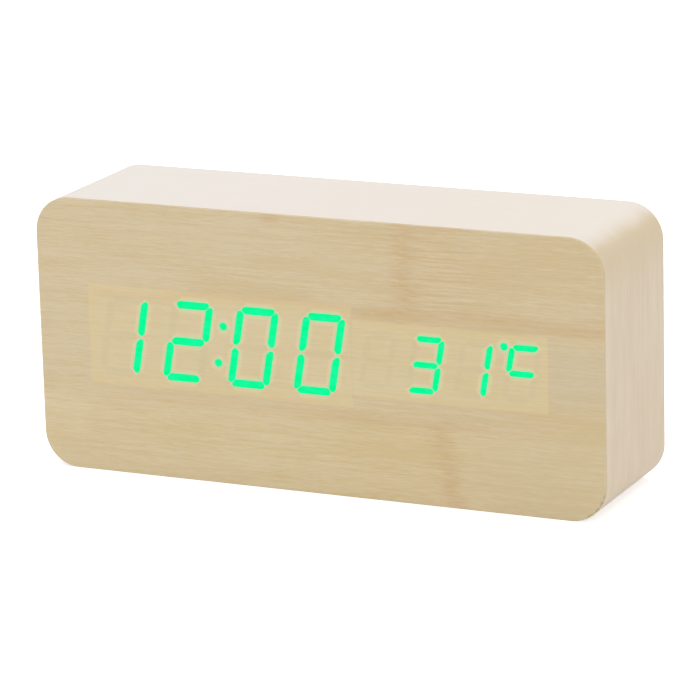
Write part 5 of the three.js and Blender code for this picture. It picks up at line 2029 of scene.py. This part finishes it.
    def build_switches(self) -> None:
        """Model one switch with its steel cover and its plunger, and copy it under each key."""
        row, reach = RearPanel.key_row, self.rivet_reach
        body = Piece.slab("tact", (0.0, row), self.switch_half, self.switch_seat, self.switch_top)
        well = Piece.rod("well", self.switch_well, (0.0, 9.25, row), 3.0)
        body.round_corners(0.35, 3).cut(well).ease(0.1).smooth()
        cover = Piece.slab("cover", (0.0, row), self.cover_half, self.switch_top, self.cover_top)
        dome = [(10.9, 0.0), (10.9, 0.5), (11.12, 0.45), (11.2, 0.25), (11.2, 0.0)]
        corners = [(x, row + z) for x in (-reach, reach) for z in (-reach, reach)]
        rivets = [Piece.lathe("rivet", (x, 0.0, z), dome, 20) for x, z in corners]
        hole = Piece.rod("hole", self.switch_well, (0.0, 10.0, row), 2.0)
        cover.round_corners(0.5, 3).add(*rivets).cut(hole).ease(0.05).smooth()
        outline = [(10.0, 0.0), (10.0, 1.7), *rim(14.7, 1.7, 0.3), (14.7, 0.0)]
        plunger = Piece.lathe("plunger", (0.0, 0.0, row), outline, 40).smooth(40.0)
        for name, x in RearPanel.keys:
            shift = (x, 0.0, 0.0)
            body.copied(f"{name}_tact", shift).fit(MOULDED_BLACK, f"{name}_switch")
            cover.copied(f"{name}_tact_cover", shift).fit(STEEL)
            stem = plunger.copied(f"{name}_plunger", shift)
            stem.fit(PLUNGER_GREY, f"{name}_switch_plunger", body=f"{name}_button")
        Piece.discard(body, cover, plunger)

    def build_fixings(self) -> None:
        """Model one spacer and one screw for each board, and copy them."""
        low, high = self.spacer_ends
        outside = [(low, 1.5), (low, 2.85), (low + 0.15, 3.0), (high - 0.15, 3.0), (high, 2.85)]
        bore = [(high, 1.5), (high - 0.1, 1.4), (low + 0.1, 1.4), (low, 1.5)]
        spacer = Piece.lathe("spacer", (0.0, 0.0, 0.0), [*outside, *bore], 48).smooth()
        screw = Screw(self.board_screw).build()
        for number, (x, z) in enumerate(self.spacers, 1):
            post = spacer.copied(f"board_post_{number}", (x, 0.0, z))
            post.fit(REFLECTOR_WHITE, f"display_spacer_{number}")
            fixing = screw.copied(f"board_screw_{number}", (x, self.seat, z))
            fixing.fit(STEEL, f"display_screw_{number}")
        turned = Screw(self.key_screw).build()
        turned.obj.data.transform(Matrix.Rotation(math.pi, 4, "X"))
        for number, (x, z) in enumerate(RearPanel.bosses, 1):
            fixing = turned.copied(f"key_screw_{number}", (x, self.key_screw_seat, z))
            fixing.fit(STEEL, f"key_board_screw_{number}")
        Piece.discard(spacer, screw, turned)

    def build_ribbon(self) -> None:
        """Model one wire of the flat cable along its bend, and lay its copies side by side."""
        points = bend(self.ribbon_start, self.seat, (self.ribbon_sway, 0.0))
        wire = Piece.tube("flat_cable", self.strand, points, 2).smooth(50.0)
        pitch = 2 * self.strand
        others = [wire.copied("wire", (0.0, 0.0, pitch * number)) for number in range(1, self.strands)]
        wire.gather(*others).fit(RibbonCable(pitch=pitch), "key_ribbon")


@dataclass
class Studio:
    """A pale floor, soft lamps, a white backdrop and the camera."""

    lens: float = 210.15
    sensor: float = 36.0
    azimuth: float = 25.0
    elevation: float = 15.018
    roll: float = -1.533
    distance: float = 1003.14
    target: Point = (0.328, 0.0, 31.084)
    sky: float = 0.55
    floor_size: float = 12.0
    floor_drop: float = 0.02
    floor_grey: Colour = (0.84, 0.84, 0.84, 1.0)
    floor_glow: float = 0.57
    white: Colour = (1.0, 1.0, 1.0, 1.0)
    lamp_target: Point = (0.0, 0.0, 0.035)

    def build(self) -> None:
        """Set up the floor, the lamps, the backdrop and the camera."""
        self.build_floor()
        self.build_backdrop()
        self.build_lamp("top_lamp", (0.05, 0.25, 1.3), 1.3, 9.3)
        self.build_lamp("front_lamp", (-0.5, -1.35, 0.3), 1.1, 6.9)
        self.build_lamp("side_lamp", (1.35, -0.25, 0.5), 0.9, 4.4)
        self.build_camera()
        bpy.context.scene.view_settings.view_transform = "Standard"

    def build_floor(self) -> None:
        """Lay a pale floor that shows white with the object's soft shadow."""
        Piece.rest()
        place = (0.0, 0.0, -self.floor_drop * MM)
        bpy.ops.mesh.primitive_plane_add(size=self.floor_size, location=place)
        floor = bpy.context.object
        floor.name = "floor"
        paint = bpy.data.materials.new("floor_white")
        graph = Graph(paint)
        graph.surface(
            Base_Color=self.floor_grey,
            Roughness=0.9,
            Specular_IOR_Level=0.0,
            Emission_Color=self.white,
            Emission_Strength=self.seen(graph) * self.floor_glow,
        )
        floor.data.materials.append(paint)

    @staticmethod
    def seen(graph: Graph) -> Value:
        """Tell the rays that show the floor or the backdrop from those that only light the clock.

        Args:
            graph: The floor's or the backdrop's node tree.

        Returns:
            1 on rays from the camera, a gloss or a glass, and 0 on others.
        """
        path = graph.node("ShaderNodeLightPath")
        kinds = ("Is Camera Ray", "Is Glossy Ray", "Is Transmission Ray")
        camera, gloss, glass = (Value(graph, path.outputs[kind]) for kind in kinds)
        return camera.most(gloss).most(glass)

    def build_backdrop(self) -> None:
        """Light the scene evenly from all round, with white behind the object."""
        world = bpy.data.worlds.new("studio")
        bpy.context.scene.world = world
        graph = Graph(world, "ShaderNodeBackground", "ShaderNodeOutputWorld")
        graph.surface(Color=self.white, Strength=self.sky + self.seen(graph) * (1.0 - self.sky))

    def build_lamp(self, name: str, place: Point, size: float, power: float) -> None:
        """Hang a square soft lamp that faces the clock.

        Args:
            name: The lamp's name.
            place: Where it hangs, in metres.
            size: Its side in metres.
            power: Its power in watts.
        """
        lamp = bpy.data.lights.new(name, "AREA")
        lamp.shape = "SQUARE"
        lamp.size = size
        lamp.energy = power
        obj = bpy.data.objects.new(name, lamp)
        obj.location = place
        aim = Vector(self.lamp_target) - Vector(place)
        obj.rotation_euler = aim.to_track_quat("-Z", "Y").to_euler()
        bpy.context.scene.collection.objects.link(obj)

    def build_camera(self) -> None:
        """Stand the camera where it sees the clock as the photograph does."""
        a, e, r = (math.radians(angle) for angle in (self.azimuth, self.elevation, self.roll))
        back = Vector((math.sin(a) * math.cos(e), -math.cos(a) * math.cos(e), math.sin(e)))
        right = Vector((math.cos(a), math.sin(a), 0.0))
        up = back.cross(right)
        across = right * math.cos(r) + up * math.sin(r)
        above = up * math.cos(r) - right * math.sin(r)
        camera = bpy.data.cameras.new("camera")
        camera.lens = self.lens
        camera.sensor_width = self.sensor
        obj = bpy.data.objects.new("camera", camera)
        turn = Matrix((across, above, back)).transposed().to_4x4()
        obj.matrix_world = Matrix.Translation((Vector(self.target) + back * self.distance) * MM) @ turn
        bpy.context.scene.collection.objects.link(obj)
        bpy.context.scene.camera = obj


def main() -> None:
    """Build the clock's pieces in order, then the studio."""
    logging.basicConfig(level=logging.INFO, format="%(message)s")
    WoodenBlock().build()
    Display().build()
    RearPanel().build()
    Battery().build()
    Electronics().build()
    Studio().build()


if __name__ == "__main__":
    main()
